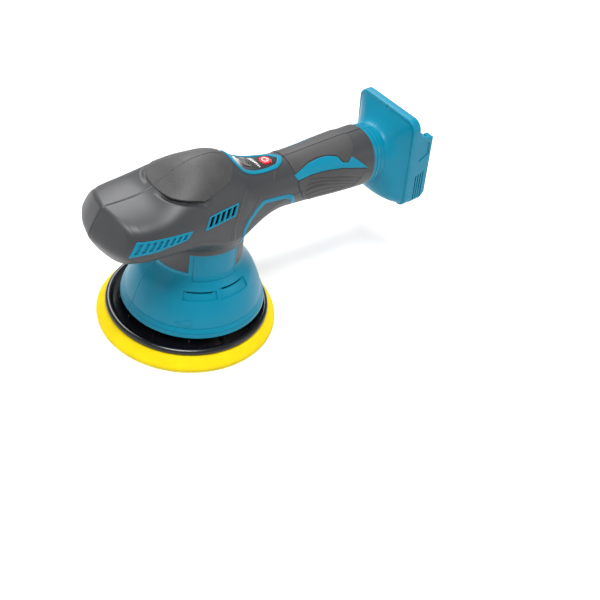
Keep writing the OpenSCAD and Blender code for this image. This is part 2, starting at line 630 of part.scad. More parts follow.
// The palm pad's outline drawn smaller about its middle
module palm_outline(s) {
  polygon([for (p = palm_plan) [-15 + (p[0] + 15) * s, p[1] * s], [-15, -1]]);
}
module palm_pad_left() { left() palm_pad(); }
module palm_pad_right() { palm_pad(); }
module nose_grille() {
  color(teal) difference() {
    grille_skin(-0.5);
    intersection() { skin(-84, -28, 9, -2, 0.5, 3, 10); grille_slots(); }
  }
}
module nose_grille_left() { left() nose_grille(); }
module nose_grille_right() {
  difference() { nose_grille(); rod_y(-67, 108, 3.6, head_y, 60); }
}
module side_vent() { color(teal) difference() { vent_skin(-0.5); vent_slots(); } }
module side_vent_left() { left() side_vent(); }
module side_vent_right() { side_vent(); }
module trim_stripe_left() { color(teal) left() stripe_skin(-0.5); }
module trim_stripe_right() { color(teal) stripe_skin(-0.5); }
module grip() {
  color(black) difference() {
    grip_skin(-grip_proud, grip_side);
    side_prism(inlay_side);
    intersection() {
      skin(71, 151, 10, -2, 0.3);
      for (g = [[[89.5, 119.4], [109.4, 117], [142, 110.6]], [[84.7, 110.5], [105, 112], [139.2, 104.3]],
          [[89.8, 103.2], [113.4, 103], [132.6, 101.5]]])
        side_prism([g[0], g[1] + [0, 0.5], g[2], g[1] - [0, 0.6]]);
    }
  }
}
module handle_grip_left() { left() grip(); }
module handle_grip_right() {
  difference() {
    grip();
    for (p = body_screws_at) rod_y(p[0], p[1], 3.6, head_y, 60);
  }
}
module handle_inlay_left() { color(teal) left() grip_skin(-0.4, inlay_side); }
module handle_inlay_right() { color(teal) grip_skin(-0.4, inlay_side); }

// ---------- Control panel ----------
module window_block(z0, z1, d) {
  on_window() translate([-window_size[0]/2 - d, -window_size[1]/2 - d, z0])
    cube([window_size[0] + 2*d, window_size[1] + 2*d, z1 - z0]);
}
module panel_bezel() {
  color(teal) both() difference() {
    panel_skin(-0.9, bezel_plan);
    plan_prism(fascia_plan);
  }
}
module level_bars() {
  for (i = [0:7]) translate([44.6 + 0.4 * (7 - i), -7.2 + 1.9*i, 100]) cube([1.4 + 0.4*i, 0.9, 60]);
}
module panel_fascia() {
  color(black) difference() {
    both() panel_skin(-0.4, fascia_plan);
    window_block(-6, 6, 0);
    translate([button_x, 0, 110]) cylinder(r = button_r + 0.4, h = 40, $fn = 48);
    translate([button_x, 0, 0]) ring(button_r + 1.2, button_r + 1.6, button_z + 0.1, button_z + 4);
    level_marks();
  }
}
module level_marks() {
  color([0.92, 0.93, 0.95]) intersection() {
    both() skin(43, 51, 3, -0.5, 0.1, 0, 4);
    level_bars();
  }
}
module display_window() { color([0.12, 0.10, 0.11, 0.6]) window_block(-1.4, -0.1, 0); }
digit_z = -2;
module digit_bar(x, y, along_x) {
  on_window() translate([x, y, digit_z + 0.15])
    cube([along_x ? 2.2 : 0.7, along_x ? 0.7 : 2.2, 0.3], center = true);
}
// A level symbol of three bars, then one digit, both read from the rear of the tool
module display_digits() {
  color([0.95, 0.12, 0.08]) {
    for (x = [-3, 0, 3], y = [-3, 3]) digit_bar(x, y, false);
    digit_bar(-1.5, 4.5, true);
    digit_bar(1.5, 1.5, true);
  }
}
board_z = 121.6;
board_t = 1.6;
module display_module() {
  color(black) {
    window_block(-7, digit_z, -0.2);
    for (x = [-2.6, 2.6], y = [-5:2.5:5]) translate([window_x + x, y, board_z + board_t])
      cylinder(r = 0.4, h = window_z - 6.6 - board_z - board_t - x * 0.42, $fn = 16);
  }
}
module control_board() {
  color([0.05, 0.35, 0.18]) translate([34.5, -13, board_z]) cube([36, 26, board_t]);
}
switch_top = button_z - 5.6;
module tact_switch() {
  color(black) {
    translate([button_x - 3, -3, board_z + board_t]) cube([6, 6, switch_top - 1 - board_z - board_t]);
    translate([button_x, 0, switch_top - 1]) cylinder(r = 1.7, h = 1, $fn = 32);
  }
}
button_top = button_z + 1;
module power_button() {
  color([0.80, 0.06, 0.05]) translate([button_x, 0, 0]) difference() {
    union() {
      translate([0, 0, button_z - 4.7]) cylinder(r = button_r, h = 5.2, $fn = 64);
      translate([0, 0, button_z + 0.5]) rotate_extrude($fn = 64)
        polygon([[0, 0], [button_r, 0], [button_r - 0.5, 0.5], [0, 0.5]]);
      translate([0, 0, button_z - 4.7]) cylinder(r = button_r + 1.2, h = 0.7, $fn = 64);
    }
    icon(button_top - 0.2, 3);
  }
}
// The round power symbol, an open ring and a bar
module icon(z0, h) {
  translate([0, 0, z0]) {
    difference() {
      ring(2.2, 2.8, 0, h);
      translate([0.6, -1, -1]) cube([4, 2, h + 2]);
    }
    translate([0.9, -0.35, 0]) cube([2.3, 0.7, h]);
  }
}
module power_icon() {
  color([0.95, 0.95, 0.95]) translate([button_x, 0, 0]) icon(button_top - 0.2, 0.2);
}

// ---------- Drive electronics and leads ----------
driver_z = 97.6;
driver_top = driver_z + 1.6;
module driver_board() {
  color([0.05, 0.35, 0.18]) {
    translate([62, -12, driver_z]) cube([78, 24, 1.6]);
    for (x = [66:8:82], y = [-8, 2]) translate([x, y, driver_top]) cube([5, 6, 2]);
  }
}
module filter_capacitors() {
  color([0.16, 0.18, 0.30]) for (y = [-5.6, 5.6]) translate([106, y, driver_top + 5.1])
    rotate([0, 90, 0]) cylinder(r = 5.1, h = 25, $fn = 48);
}
lead_z = core_top + 6.25;
module phase_leads() {
  color([0.85, 0.65, 0.10]) {
    both() wire([[22, 3.5, lead_z], [22, 9.5, lead_z], [22, 9.5, 125], [33, 16.5, 125],
      [62, 17, 112], [63, 9.2, driver_top + 1.25]], 1.2);
    wire([[12.8, 17.2, lead_z], [19, 13, lead_z], [19, 13, 128.5], [32, 18.2, 128],
      [62, 18.6, 116], [90, 10, driver_top + 1.25]], 1.2);
  }
}
module battery_leads() {
  color([0.70, 0.10, 0.08]) both() wire([[137, 5, driver_top + 1.65], [151, 5, 102.4],
    [162, 5, 110], [176, 5, 116], [186.4, 5, 122]], 1.6);
}

// ---------- Battery foot ----------
collar_x = 169;                // rear end of the collar
plate_u = 201.6;               // front of the foot's plate, across its lean
rail_u = 226;                  // rear faces of the rails
module on_foot() { rotate([0, -foot_lean, 0]) children(); }
module handle_slab(x0, x1, inset) {
  translate([x0, 0, 0]) rotate([90, 0, 90]) linear_extrude(x1 - x0)
    polygon([for (p = section(157, inset)) [p[1], p[2]]]);
}
// Half of the plate's outline, rounded at its corners, from u0 to u1
module foot_slab(u0, u1, v0, v1, w, r) {
  translate([u0, 0, 0]) rotate([90, 0, 90]) linear_extrude(u1 - u0) {
    translate([0, v0]) square([w - r, v1 - v0]);
    translate([0, v0 + r]) square([w, v1 - v0 - 2*r]);
    for (v = [v0 + r, v1 - r]) translate([w - r, v]) circle(r, $fn = 48);
  }
}
module foot_box(u, y, v) {
  translate([u[0], y[0], v[0]]) cube([u[1] - u[0], y[1] - y[0], v[1] - v[0]]);
}
foot_y = foot_w / 2;
foot_screws_at = [[198.5, 113], [199.5, 58]];
terminal_v = [84, 104];
module foot_half() {
  difference() {
    union() {
      difference() {
        union() {
          handle_slab(150, tail_x, body_wall + 1);
          handle_slab(tail_x, collar_x, 1);
          hull() {
            handle_slab(collar_x - 1, collar_x, 1);
            on_foot() {
              foot_slab(plate_u - 0.6, plate_u + 0.4, 43, 129, foot_y - 0.6, 9);
              foot_box([185, 188], [0, 8], [44, 50]);
            }
          }
          on_foot() foot_slab(plate_u, 209, 41, 130, foot_y, 9);
        }
        handle_slab(149, collar_x + 0.1, 6);
        hull() {
          handle_slab(collar_x - 1, collar_x, 6);
          on_foot() foot_slab(plate_u + 2, plate_u + 3, 50, 123, foot_y - 5, 8);
        }
        for (x = [160, 164]) difference() {
          handle_slab(x, x + 0.9, 0);
          handle_slab(x - 1, x + 2, 1.7);
        }
      }
      on_foot() {
        foot_box([208, rail_u], [foot_y - 4.5, foot_y], [45, 109.5]);
        foot_box([rail_u - 4, rail_u], [foot_y - 8.5, foot_y], [45, 109.5]);
        foot_box([208, rail_u - 5], [0, foot_y - 1], [terminal_v[1], 109.5]);
        for (p = foot_screws_at) rod_y(p[0], p[1], 4.2, 0, foot_y - 8);
      }
    }
    on_foot() {
      foot_box([200, 212], [-1, 12], [terminal_v[0], terminal_v[1]]);
      foot_box([205, 212], [-1, 9], [54, 60]);
      side_recess([[208, 108], [223, 103.5], [223, 90.5], [208, 87]], 0.8);
      for (i = [0:3]) let (u = 211.8 + 2.7*i)
        side_recess([[u, 47], [u + 1.4, 47], [u + 1.4, 72.6 + 0.5*i], [u, 72 + 0.5*i]], 1.2);
      foot_box([plate_u - 9, plate_u + 1], [29, foot_y + 1], [126.4, 131]);
    }
  }
}
module side_recess(points, depth) {
  translate([0, foot_y - depth, 0]) side_prism(points, 10);
}
module foot_left() {
  color(teal) left() difference() {
    foot_half();
    on_foot() for (p = foot_screws_at) rod_y(p[0], p[1], 1.5, -1, head_y + 1);
  }
}
module foot_right() {
  color(teal) difference() {
    foot_half();
    on_foot() for (p = foot_screws_at) {
      rod_y(p[0], p[1], 2, -1, 60);
      rod_y(p[0], p[1], 3.6, head_y, 60);
    }
  }
}
module foot_screws() {
  color(steel) on_foot() for (p = foot_screws_at) side_screw(p[0], p[1], head_y, head_y * 2);
}
blade_y = [-9, -3, 3, 9];
module terminal_block() {
  color(black) on_foot() difference() {
    union() {
      foot_box([203, 212], [-12, 12], terminal_v);
      foot_box([209.2, 218], [-14, 14], [terminal_v[0], terminal_v[1] - 0.2]);
    }
    blades();
  }
}
module blades() {
  for (y = blade_y) foot_box([211, 217], [y - 0.4, y + 0.4], [66, 93]);
}
module terminal_blades() { color(brass) on_foot() blades(); }

hook_face();
foam_pad();
backing_plate();
pad_stud();
pad_washer();
pad_spindle();
eccentric_hub();
counterweight();
pad_bearing_lower();
pad_bearing_upper();
retaining_ring();
motor_shaft();
fan();
rotor_core();
rotor_magnets();
stator_core();
stator_windings();
motor_can();
motor_end_cap();
upper_bearing();
lower_bearing();
bearing_plate();
bearing_plate_screws();
bell_left();
bell_right();
bell_screws();
body_left();
body_right();
body_screws();
palm_pad_left();
palm_pad_right();
nose_grille_left();
nose_grille_right();
side_vent_left();
side_vent_right();
trim_stripe_left();
trim_stripe_right();
panel_bezel();
panel_fascia();
display_window();
display_module();
display_digits();
level_marks();
control_board();
tact_switch();
power_button();
power_icon();
driver_board();
filter_capacitors();
phase_leads();
battery_leads();
handle_grip_left();
handle_grip_right();
handle_inlay_left();
handle_inlay_right();
foot_left();
foot_right();
foot_screws();
terminal_block();
terminal_blades();
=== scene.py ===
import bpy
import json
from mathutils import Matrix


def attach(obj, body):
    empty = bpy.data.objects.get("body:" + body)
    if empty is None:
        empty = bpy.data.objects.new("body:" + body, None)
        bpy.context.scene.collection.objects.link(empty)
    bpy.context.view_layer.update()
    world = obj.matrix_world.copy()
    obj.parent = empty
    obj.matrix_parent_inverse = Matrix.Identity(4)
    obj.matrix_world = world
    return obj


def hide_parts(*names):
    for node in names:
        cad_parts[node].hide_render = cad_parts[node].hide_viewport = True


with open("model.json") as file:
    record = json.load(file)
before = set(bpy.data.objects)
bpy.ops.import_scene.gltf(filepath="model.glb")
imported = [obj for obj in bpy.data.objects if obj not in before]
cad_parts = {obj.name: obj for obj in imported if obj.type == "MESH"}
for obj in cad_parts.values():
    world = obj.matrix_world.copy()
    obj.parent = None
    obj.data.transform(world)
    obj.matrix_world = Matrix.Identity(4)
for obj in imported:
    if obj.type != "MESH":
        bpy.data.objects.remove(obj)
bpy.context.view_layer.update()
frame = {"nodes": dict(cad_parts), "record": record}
import json
import math

import bpy
import numpy as np
from mathutils import Matrix, Vector
from mathutils.bvhtree import BVHTree
from mathutils.geometry import delaunay_2d_cdt

MM = 0.001

# ---------------------------------------------------------------- materials
MATERIALS = {}
BROAD_SCALE = 60.0               # scale of the broad noise, the same in every material
ROUGH_SPREAD = 0.05              # how far roughness varies either way


def material(name, color, rough, metal=0.0, coat=0.0, shade=0.06, grain=900.0, bump=0.25,
             depth=0.00006, spec=0.5, glow=0.0, clear=0.0):
    """A procedural surface: broad and fine noise vary its colour and roughness, and the grain lifts it.
    shade is how far the colour varies, grain the fine noise's scale, and depth the relief in metres."""
    m = bpy.data.materials.new(name)
    m.use_nodes = True
    t = m.node_tree
    t.nodes.clear()
    out = t.nodes.new("ShaderNodeOutputMaterial")
    s = t.nodes.new("ShaderNodeBsdfPrincipled")
    t.links.new(s.outputs["BSDF"], out.inputs["Surface"])
    at = t.nodes.new("ShaderNodeTexCoord")

    def noise(scale, detail):
        n = t.nodes.new("ShaderNodeTexNoise")
        n.inputs["Scale"].default_value = scale
        n.inputs["Detail"].default_value = detail
        n.inputs["Roughness"].default_value = 0.55
        t.links.new(at.outputs["Object"], n.inputs["Vector"])
        return n

    broad, fine = noise(BROAD_SCALE, 3.0), noise(grain, 2.0)
    ramp = t.nodes.new("ShaderNodeValToRGB")
    for stop, place, way in zip(ramp.color_ramp.elements, (0.3, 0.7), (-1, 1)):
        stop.position = place
        stop.color = (*(min(1.0, c * (1 + way * shade)) for c in color), 1)
    mix = t.nodes.new("ShaderNodeMath")
    mix.operation = "MULTIPLY_ADD"
    mix.inputs[1].default_value = 0.5
    t.links.new(broad.outputs["Fac"], mix.inputs[0])
    half = t.nodes.new("ShaderNodeMath")
    half.operation = "MULTIPLY"
    half.inputs[1].default_value = 0.5
    t.links.new(fine.outputs["Fac"], half.inputs[0])
    t.links.new(half.outputs[0], mix.inputs[2])
    t.links.new(mix.outputs[0], ramp.inputs["Fac"])
    t.links.new(ramp.outputs["Color"], s.inputs["Base Color"])
    level = t.nodes.new("ShaderNodeMapRange")
    level.inputs["To Min"].default_value = max(0.02, rough - ROUGH_SPREAD)
    level.inputs["To Max"].default_value = min(1.0, rough + ROUGH_SPREAD)
    t.links.new(broad.outputs["Fac"], level.inputs["Value"])
    t.links.new(level.outputs["Result"], s.inputs["Roughness"])
    s.inputs["Metallic"].default_value = metal
    s.inputs["Coat Weight"].default_value = coat
    s.inputs["Coat Roughness"].default_value = 0.12
    s.inputs["Specular IOR Level"].default_value = spec
    if bump:
        b = t.nodes.new("ShaderNodeBump")
        b.inputs["Strength"].default_value = bump
        b.inputs["Distance"].default_value = depth
        t.links.new(fine.outputs["Fac"], b.inputs["Height"])
        t.links.new(b.outputs["Normal"], s.inputs["Normal"])
    if glow:
        t.links.new(ramp.outputs["Color"], s.inputs["Emission Color"])
        s.inputs["Emission Strength"].default_value = glow
    if clear:
        s.inputs["Transmission Weight"].default_value = clear
        s.inputs["IOR"].default_value = 1.3
    MATERIALS[name] = m


material("body_grey", (0.030, 0.031, 0.034), 0.44, shade=0.08, grain=2600, bump=0.35, depth=0.00008)
material("teal_plastic", (0.0, 0.19, 0.30), 0.34, shade=0.06, grain=2200, bump=0.2, depth=0.00004,
         spec=0.20)
material("soft_rubber", (0.040, 0.0385, 0.0395), 0.52, shade=0.18, grain=1700, bump=0.7, depth=0.00016)
material("palm_rubber", (0.041, 0.0395, 0.0405), 0.50, shade=0.30, grain=1200, bump=1.0, depth=0.00022)
material("black_plastic", (0.004, 0.004, 0.006), 0.34, shade=0.2, bump=0.1, spec=0.3)
material("plate_black", (0.004, 0.004, 0.006), 0.20, shade=0.2, grain=700, bump=0.05, spec=0.5)
material("gloss_black", (0.008, 0.008, 0.009), 0.16, shade=0.1, bump=0.0, coat=0.6)
material("window", (0.035, 0.020, 0.022), 0.10, shade=0.1, bump=0.0, coat=0.5, clear=0.75)
material("foam", (0.80, 0.60, 0.002), 0.88, shade=0.10, grain=1300, bump=0.9, depth=0.0004, spec=0.2)
material("pad_face", (0.78, 0.70, 0.10), 0.95, shade=0.25, grain=2400, bump=1.0, depth=0.0006, spec=0.1)
material("steel", (0.60, 0.61, 0.63), 0.30, metal=1.0, shade=0.06, bump=0.15)
material("brass", (0.70, 0.50, 0.22), 0.32, metal=1.0, bump=0.15)
material("lamination", (0.33, 0.33, 0.35), 0.45, metal=1.0, bump=0.3)
material("magnet", (0.12, 0.12, 0.13), 0.45, metal=0.8, bump=0.3)
material("copper", (0.62, 0.27, 0.10), 0.35, metal=1.0, bump=0.5, grain=700, depth=0.0002)
material("aluminium", (0.55, 0.56, 0.58), 0.42, metal=1.0, bump=0.5, depth=0.0001)
material("lit_red", (0.85, 0.03, 0.012), 0.35, bump=0.05, glow=2.5)
material("white_mark", (0.86, 0.87, 0.88), 0.45, shade=0.03, bump=0.05)
# the red button's faint glow (glow=0.25) is painted light that brightens its red
material("red_button", (0.62, 0.012, 0.015), 0.30, shade=0.08, bump=0.05, coat=0.4, glow=0.25)
material("board", (0.010, 0.095, 0.040), 0.40, bump=0.1)
material("can", (0.03, 0.035, 0.09), 0.30, bump=0.05)
material("wire_yellow", (0.72, 0.45, 0.02), 0.45, bump=0.1)
material("wire_red", (0.48, 0.01, 0.01), 0.45, bump=0.1)

SLOTS = {p["node"]: p["material_slot"] for p in frame["record"]["subparts"]}
for node, obj in frame["nodes"].items():
    obj.data.materials.clear()
    obj.data.materials.append(MATERIALS[SLOTS[node]])

# ---------------------------------------------------------------- body surface, in millimetres
# one row a section: x, top z, crown curvature, half width, z of the widest line, flank curvature,
# sharpness of the upper edge, bottom z, roundness of the belly
STATIONS = np.array([
    [-86, 128.4, .0042, 30.6, 108.0, .0133, 9.0, 94.8, 2.6],
    [-77, 130.3, .0042, 35.0, 108.0, .0133, 10.5, 93.1, 2.6],
    [-65, 131.3, .0040, 38.6, 108.0, .0125, 11, 92.4, 2.6],
    [-50, 133.7, .0043, 40.3, 108.0, .0100, 10.5, 93.6, 2.6],
    [-36, 140.2, .0062, 41.0, 108.0, .0075, 8, 94.8, 2.6],
    [-22, 147.8, .0083, 41.3, 108.0, .0058, 5.4, 95.4, 2.6],
    [-7, 153.1, .0088, 40.8, 108.0, .0050, 3.6, 95.4, 2.6],
    [7, 153.6, .0088, 39.1, 108.0, .0042, 3.2, 94.8, 2.6],
    [19, 149.2, .0075, 36.5, 108.0, .0042, 3.2, 94.2, 2.5],
    [31, 140.4, .0058, 32.6, 109.2, .0042, 3.0, 93.8, 2.4],
    [43, 135.1, .0042, 29.0, 109.8, .0033, 2.8, 93.8, 2.3],
    [60, 132.9, .0033, 25.2, 110.4, .0033, 2.6, 92.6, 2.2],
    [79, 132.7, .0033, 22.8, 110.9, .0025, 2.4, 90.5, 2.2],
    [98, 134.7, .0025, 22.7, 111.6, .0017, 2.3, 88.8, 2.1],
    [118, 136.9, .0017, 23.6, 112.3, .0017, 2.4, 87.8, 2.1],
    [139, 139.1, .0017, 24.8, 113.3, .0017, 2.4, 87.6, 2.1],
    [158, 140.5, .0017, 25.6, 114.2, .0017, 2.4, 88.3, 2.1]])
NECK_R, NECK_Z = 37.0, 86.0      # the collar's radius and the height where the body runs into it
NOSE_X, NOSE_Z, NOSE_EDGE = -93.0, 108.0, 3.2
FACE_PART = 0.9                  # part of the nose's section that is its face; the rest is its rounded edge
EDGE_X, SKIN_X, TAIL_X = -76, -70, 156.0
WALL = 2.8


def station(x):
    """All the section values at x, smooth from station to station."""
    xs = STATIONS[:, 0]
    last = len(xs) - 1
    i = min(max(int(np.searchsorted(xs, x, side="right")) - 1, 0), last - 1)

    def slope(k):
        a, b = max(k - 1, 0), min(k + 1, last)
        return (STATIONS[b] - STATIONS[a]) / (xs[b] - xs[a])

    h = xs[i + 1] - xs[i]
    t = (x - xs[i]) / h
    return ((2*t**3 - 3*t*t + 1) * STATIONS[i] + (t**3 - 2*t*t + t) * h * slope(i)
            + (3*t*t - 2*t**3) * STATIONS[i + 1] + (t**3 - t*t) * h * slope(i + 1))


def section(x, inset, n_up=110, n_down=80):
    """The +Y half of the body's outline at x, from the top centre line round to the bottom one."""
    _, top, crown, wide, mid, lean, sharp, low, round_low = station(x)
    h, w = top - inset - mid, wide - inset
    a = np.linspace(0, math.pi / 2, n_up + 1)
    v = np.stack([np.sin(a) * w, np.cos(a) * h], 1)
    v /= np.linalg.norm(v, axis=1)[:, None]
    s, c = v[:, 0], v[:, 1]
    roof = 2 * h / (c + np.sqrt(c*c + 4 * crown * s*s * h))
    flank = 2 * w / (s + np.sqrt(s*s + 4 * lean * c*c * w))
    r = (roof**-sharp + flank**-sharp) ** (-1 / sharp)
    up = np.stack([np.full(n_up + 1, x), r * s, mid + r * c], 1)
    r = NECK_R - inset
    edge = math.sqrt(max(0.0, r*r - x*x))
    b = np.linspace(0, math.pi / 2, n_down + 1)[1:]
    c = np.clip(np.cos(b), 0, 1)
    c[-1] = 0
    y = edge + (w - edge) * c ** (2 / round_low)
    base = mid - (mid - low - inset) * np.clip(1 - (y / w) ** round_low, 0, None) ** (1 / round_low)
    far = np.hypot(x, y)
    f = 14.4 + 24 * np.clip(x / np.maximum(far, 0.01), 0, None) ** 1.5
    d = np.clip((far - r) / f, 0, 1)
    z = NECK_Z + (base - NECK_Z) * np.sqrt(1 - (1 - d) ** 2)
    return np.concatenate([up, np.stack([np.full(n_down, x), y, z], 1)])


def nose_face(y, z):
    """x of the nose's face: two slopes that meet in a ridge, curving back towards the sides."""
    d = z - NOSE_Z
    return (NOSE_X + np.where(d > 0, 0.55, 0.66) * (np.sqrt(d*d + 13) - 3.6)
            + 0.22 * (np.sqrt(y*y + 6) - 2.45) + 0.009 * np.clip(np.abs(y) - 12, 0, None) ** 2)


def nose_ring(s, inset):
    """The line on the nose at s times the size of the section behind it."""
    p = section(EDGE_X, inset)
    e = max(0.0, s - FACE_PART) / 0.1
    y, z = p[:, 1] * s, NOSE_Z + (p[:, 2] - NOSE_Z) * s
    return np.stack([nose_face(y, z) + inset + NOSE_EDGE * (1 - math.sqrt(1 - e*e)), y, z], 1)


def body_grid(inset, step=0.6):
    """Rows of points over half of the body's surface, from the tip of the nose to the handle's end."""
    rows = [nose_ring(s, inset) for s in np.linspace(0.001, FACE_PART, 50)]
    rows += [nose_ring(FACE_PART + 0.1 * math.sin(a), inset) for a in np.linspace(0, math.pi / 2, 14)[1:]]
    first, second = rows[-1], section(SKIN_X, inset)
    rows += [first + (second - first) * t for t in np.linspace(0, 1, 26)[1:]]
    rows += [section(x, inset) for x in np.linspace(SKIN_X, TAIL_X, int((TAIL_X - SKIN_X) / step) + 1)[1:]]
    return np.stack(rows)


def grid_normals(g):
    """Outward normals of a grid of points on the +Y half."""
    du = np.gradient(g, axis=0)
    dv = np.gradient(g, axis=1)
    n = np.cross(dv, du)
    n /= np.maximum(np.linalg.norm(n, axis=2), 1e-9)[..., None]
    centre = np.stack([g[..., 0], np.zeros_like(g[..., 0]), np.full_like(g[..., 0], 110.0)], 2)
    if ((g - centre) * n).sum(2).mean() < 0:
        n = -n
    n[:, 0, 1] = 0
    n[:, 0] /= np.maximum(np.linalg.norm(n[:, 0], axis=1), 1e-9)[:, None]
    return n


SURFACE = body_grid(0.0)
NORMALS = grid_normals(SURFACE)
ROWS, COLS = SURFACE.shape[:2]
AT = SURFACE.reshape(-1, 3)
AT_N = NORMALS.reshape(-1, 3)


def grid_faces(rows, cols):
    """The four corners of every cell of a grid of points."""
    j, k = np.meshgrid(np.arange(rows - 1), np.arange(cols - 1), indexing="ij")
    a = (j * cols + k).ravel()
    return np.stack([a, a + 1, a + cols + 1, a + cols], 1)


QUADS = grid_faces(ROWS, COLS)
TRI = np.concatenate([QUADS[:, [0, 1, 2]], QUADS[:, [0, 2, 3]]])
TREE = BVHTree.FromPolygons([tuple(p) for p in AT], [tuple(map(int, t)) for t in TRI])


def on_surface(points, mode):
    """Points and outward normals on the +Y half: below (x, y) for "plan", beside (x, z) for "side", or on
    the handle, the bell or a plane as the functions below say."""
    if mode == "wrap":
        return on_wrap(points)
    if mode == "bell":
        return on_bell(points)
    if mode[0] == "flat":
        return on_plane(points, *mode[1:])
    out, normals = [], []
    for a, b in points:
        sign = -1 if mode == "plan" and b < 0 else 1
        b = b * sign
        if mode == "plan":
            start, way = Vector((a, max(b, 0.001), 250)), Vector((0, 0, -1))
        else:
            start, way = Vector((a, 120, b)), Vector((0, -1, 0))
        hit, _, index, _ = TREE.ray_cast(start, way)
        if hit is None:
            aside = Vector((a, b, 130)) if mode == "plan" else Vector((a, 38, b))
            hit, _, index, _ = TREE.find_nearest(aside)
        tri = TRI[index]
        p, q, r = AT[tri]
        v0, v1, v2 = q - p, r - p, np.array(hit) - p
        d00, d01, d11 = v0 @ v0, v0 @ v1, v1 @ v1
        d20, d21 = v2 @ v0, v2 @ v1
        den = max(d00 * d11 - d01 * d01, 1e-12)
        v, w = (d11 * d20 - d01 * d21) / den, (d00 * d21 - d01 * d20) / den
        n = AT_N[tri[0]] * (1 - v - w) + AT_N[tri[1]] * v + AT_N[tri[2]] * w
        point = np.array(hit)
        if mode == "plan" and b <= 0.001:
            point[1], n = 0.0, n * [1, 0, 1]
        out.append(point * [1, sign, 1])
        normals.append(n / np.linalg.norm(n) * [1, sign, 1])
    return np.array(out), np.array(normals)


def on_bell(points):
    """As on_surface, for points on the bell, as azimuths in degrees and heights."""
    p = np.asarray(points, float)
    a, r = np.radians(p[:, 0]), np.interp(p[:, 1], BELL[:, 1], BELL[:, 0])
    out = np.stack([np.cos(a), np.sin(a), np.full(len(a), 0.35)], 1)
    return np.stack([r * np.cos(a), r * np.sin(a), p[:, 1]], 1), out / np.linalg.norm(out, axis=1)[:, None]


def on_plane(points, origin, across, along, outward):
    """As on_surface, for points on the plane through origin, as distances across and along it."""
    p = np.asarray(points, float)
    return origin + p[:, :1] * across + p[:, 1:] * along, np.tile(outward, (len(p), 1))


WRAP = 0.36                      # millimetres of outline for one column of the body's grid
FIRST = next(j for j in range(ROWS) if SURFACE[j, 0, 0] >= SKIN_X + 0.0001)


def on_wrap(points):
    """As on_surface, for points given as x and columns round the section times WRAP."""
    p = np.asarray(points, float)
    step = SURFACE[FIRST + 1, 0, 0] - SURFACE[FIRST, 0, 0]
    j = np.clip((p[:, 0] - SURFACE[FIRST, 0, 0]) / step, 0, ROWS - FIRST - 1.001) + FIRST
    k = np.clip(p[:, 1] / WRAP, 0, COLS - 1.001)
    j0, k0 = j.astype(int), k.astype(int)
    a, b = (j - j0)[:, None], (k - k0)[:, None]

    def mix(g):
        return ((g[j0, k0] * (1 - a) + g[j0 + 1, k0] * a) * (1 - b)
                + (g[j0, k0 + 1] * (1 - a) + g[j0 + 1, k0 + 1] * a) * b)

    n = mix(NORMALS)
    return mix(SURFACE), n / np.linalg.norm(n, axis=1)[:, None]


def wrap_line(points):
    """Side-view points (x, z) as points for on_wrap; z above the top stands for the top line."""
    out = []
    for x, z in points:
        line = section(x, 0.0)[:, 2]
        k = np.interp(-z, -line, np.arange(len(line)))
        out.append([x, k * WRAP])
    return np.array(out)


# ---------------------------------------------------------------- mesh helpers
def add_mesh(name, verts, faces, mat, body="housing", smooth=40):
    """A mesh from points in millimetres, in place of the CAD node of the same name. Edges that turn by
    more than smooth degrees stay sharp."""
    me = bpy.data.meshes.new(name)
    me.from_pydata((np.asarray(verts) * MM).tolist(), [], [tuple(int(i) for i in f) for f in faces])
    me.validate()
    o = bpy.data.objects.new(name, me)
    bpy.context.scene.collection.objects.link(o)
    me.materials.append(MATERIALS[mat])
    for p in me.polygons:
        p.use_smooth = True
    me.set_sharp_from_angle(angle=math.radians(smooth))
    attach(o, body)
    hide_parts(name)
    return o


def mirrored(verts, faces, side):
    """The +Y piece itself for side +1, or its mirror image on the left for side -1."""
    v = np.array(verts, float)
    if side > 0:
        return v, [tuple(f) for f in faces]
    v[:, 1] *= -1
    return v, [tuple(reversed(list(f))) for f in faces]


def joined(parts):
    """Several pieces' points and faces as one list of each."""
    verts, faces = [], []
    for v, f in parts:
        faces += [[int(i) + len(verts) for i in q] for q in f]
        verts += np.asarray(v).tolist()
    return verts, faces


def to_line(points, line, closed=False):
    """Distance of 2-D points to a polyline."""
    p = np.asarray(points, float)
    line = np.asarray(line, float)
    ends = np.roll(line, -1, 0) if closed else line[1:]
    starts = line if closed else line[:-1]
    best = np.full(len(p), 1e9)
    for a, b in zip(starts, ends):
        ab = b - a
        t = np.clip(((p - a) @ ab) / max(ab @ ab, 1e-12), 0, 1)
        best = np.minimum(best, np.linalg.norm(p - a - t[:, None] * ab, axis=1))
    return best


def inside(points, poly):
    """Which 2-D points are inside a closed outline."""
    p = np.asarray(points, float)
    poly = np.asarray(poly, float)
    odd = np.zeros(len(p), bool)
    for a, b in zip(poly, np.roll(poly, -1, 0)):
        crosses = (a[1] > p[:, 1]) != (b[1] > p[:, 1])
        with np.errstate(divide="ignore", invalid="ignore"):
            x = (b[0] - a[0]) * (p[:, 1] - a[1]) / (b[1] - a[1]) + a[0]
        odd ^= crosses & (p[:, 0] < x)
    return odd


def resample(poly, step, corner=0.0):
    """A closed outline with points every step, after rounding each corner off by corner."""
    poly = np.asarray(poly, float)
    if corner:
        out = []
        n = len(poly)
        for i in range(n):
            a, b, c = poly[i - 1], poly[i], poly[(i + 1) % n]
            la, lc = np.linalg.norm(a - b), np.linalg.norm(c - b)
            d = min(corner, la * 0.45, lc * 0.45)
            p, q = b + (a - b) / la * d, b + (c - b) / lc * d
            out += [(1 - t)**2 * p + 2*t*(1 - t) * b + t*t * q for t in np.linspace(0, 1, 6)]
        poly = np.array(out)
    out = []
    for a, b in zip(poly, np.roll(poly, -1, 0)):
        n = max(1, int(math.ceil(np.linalg.norm(b - a) / step)))
        out += [a + (b - a) * i / n for i in range(n)]
    return np.array(out)


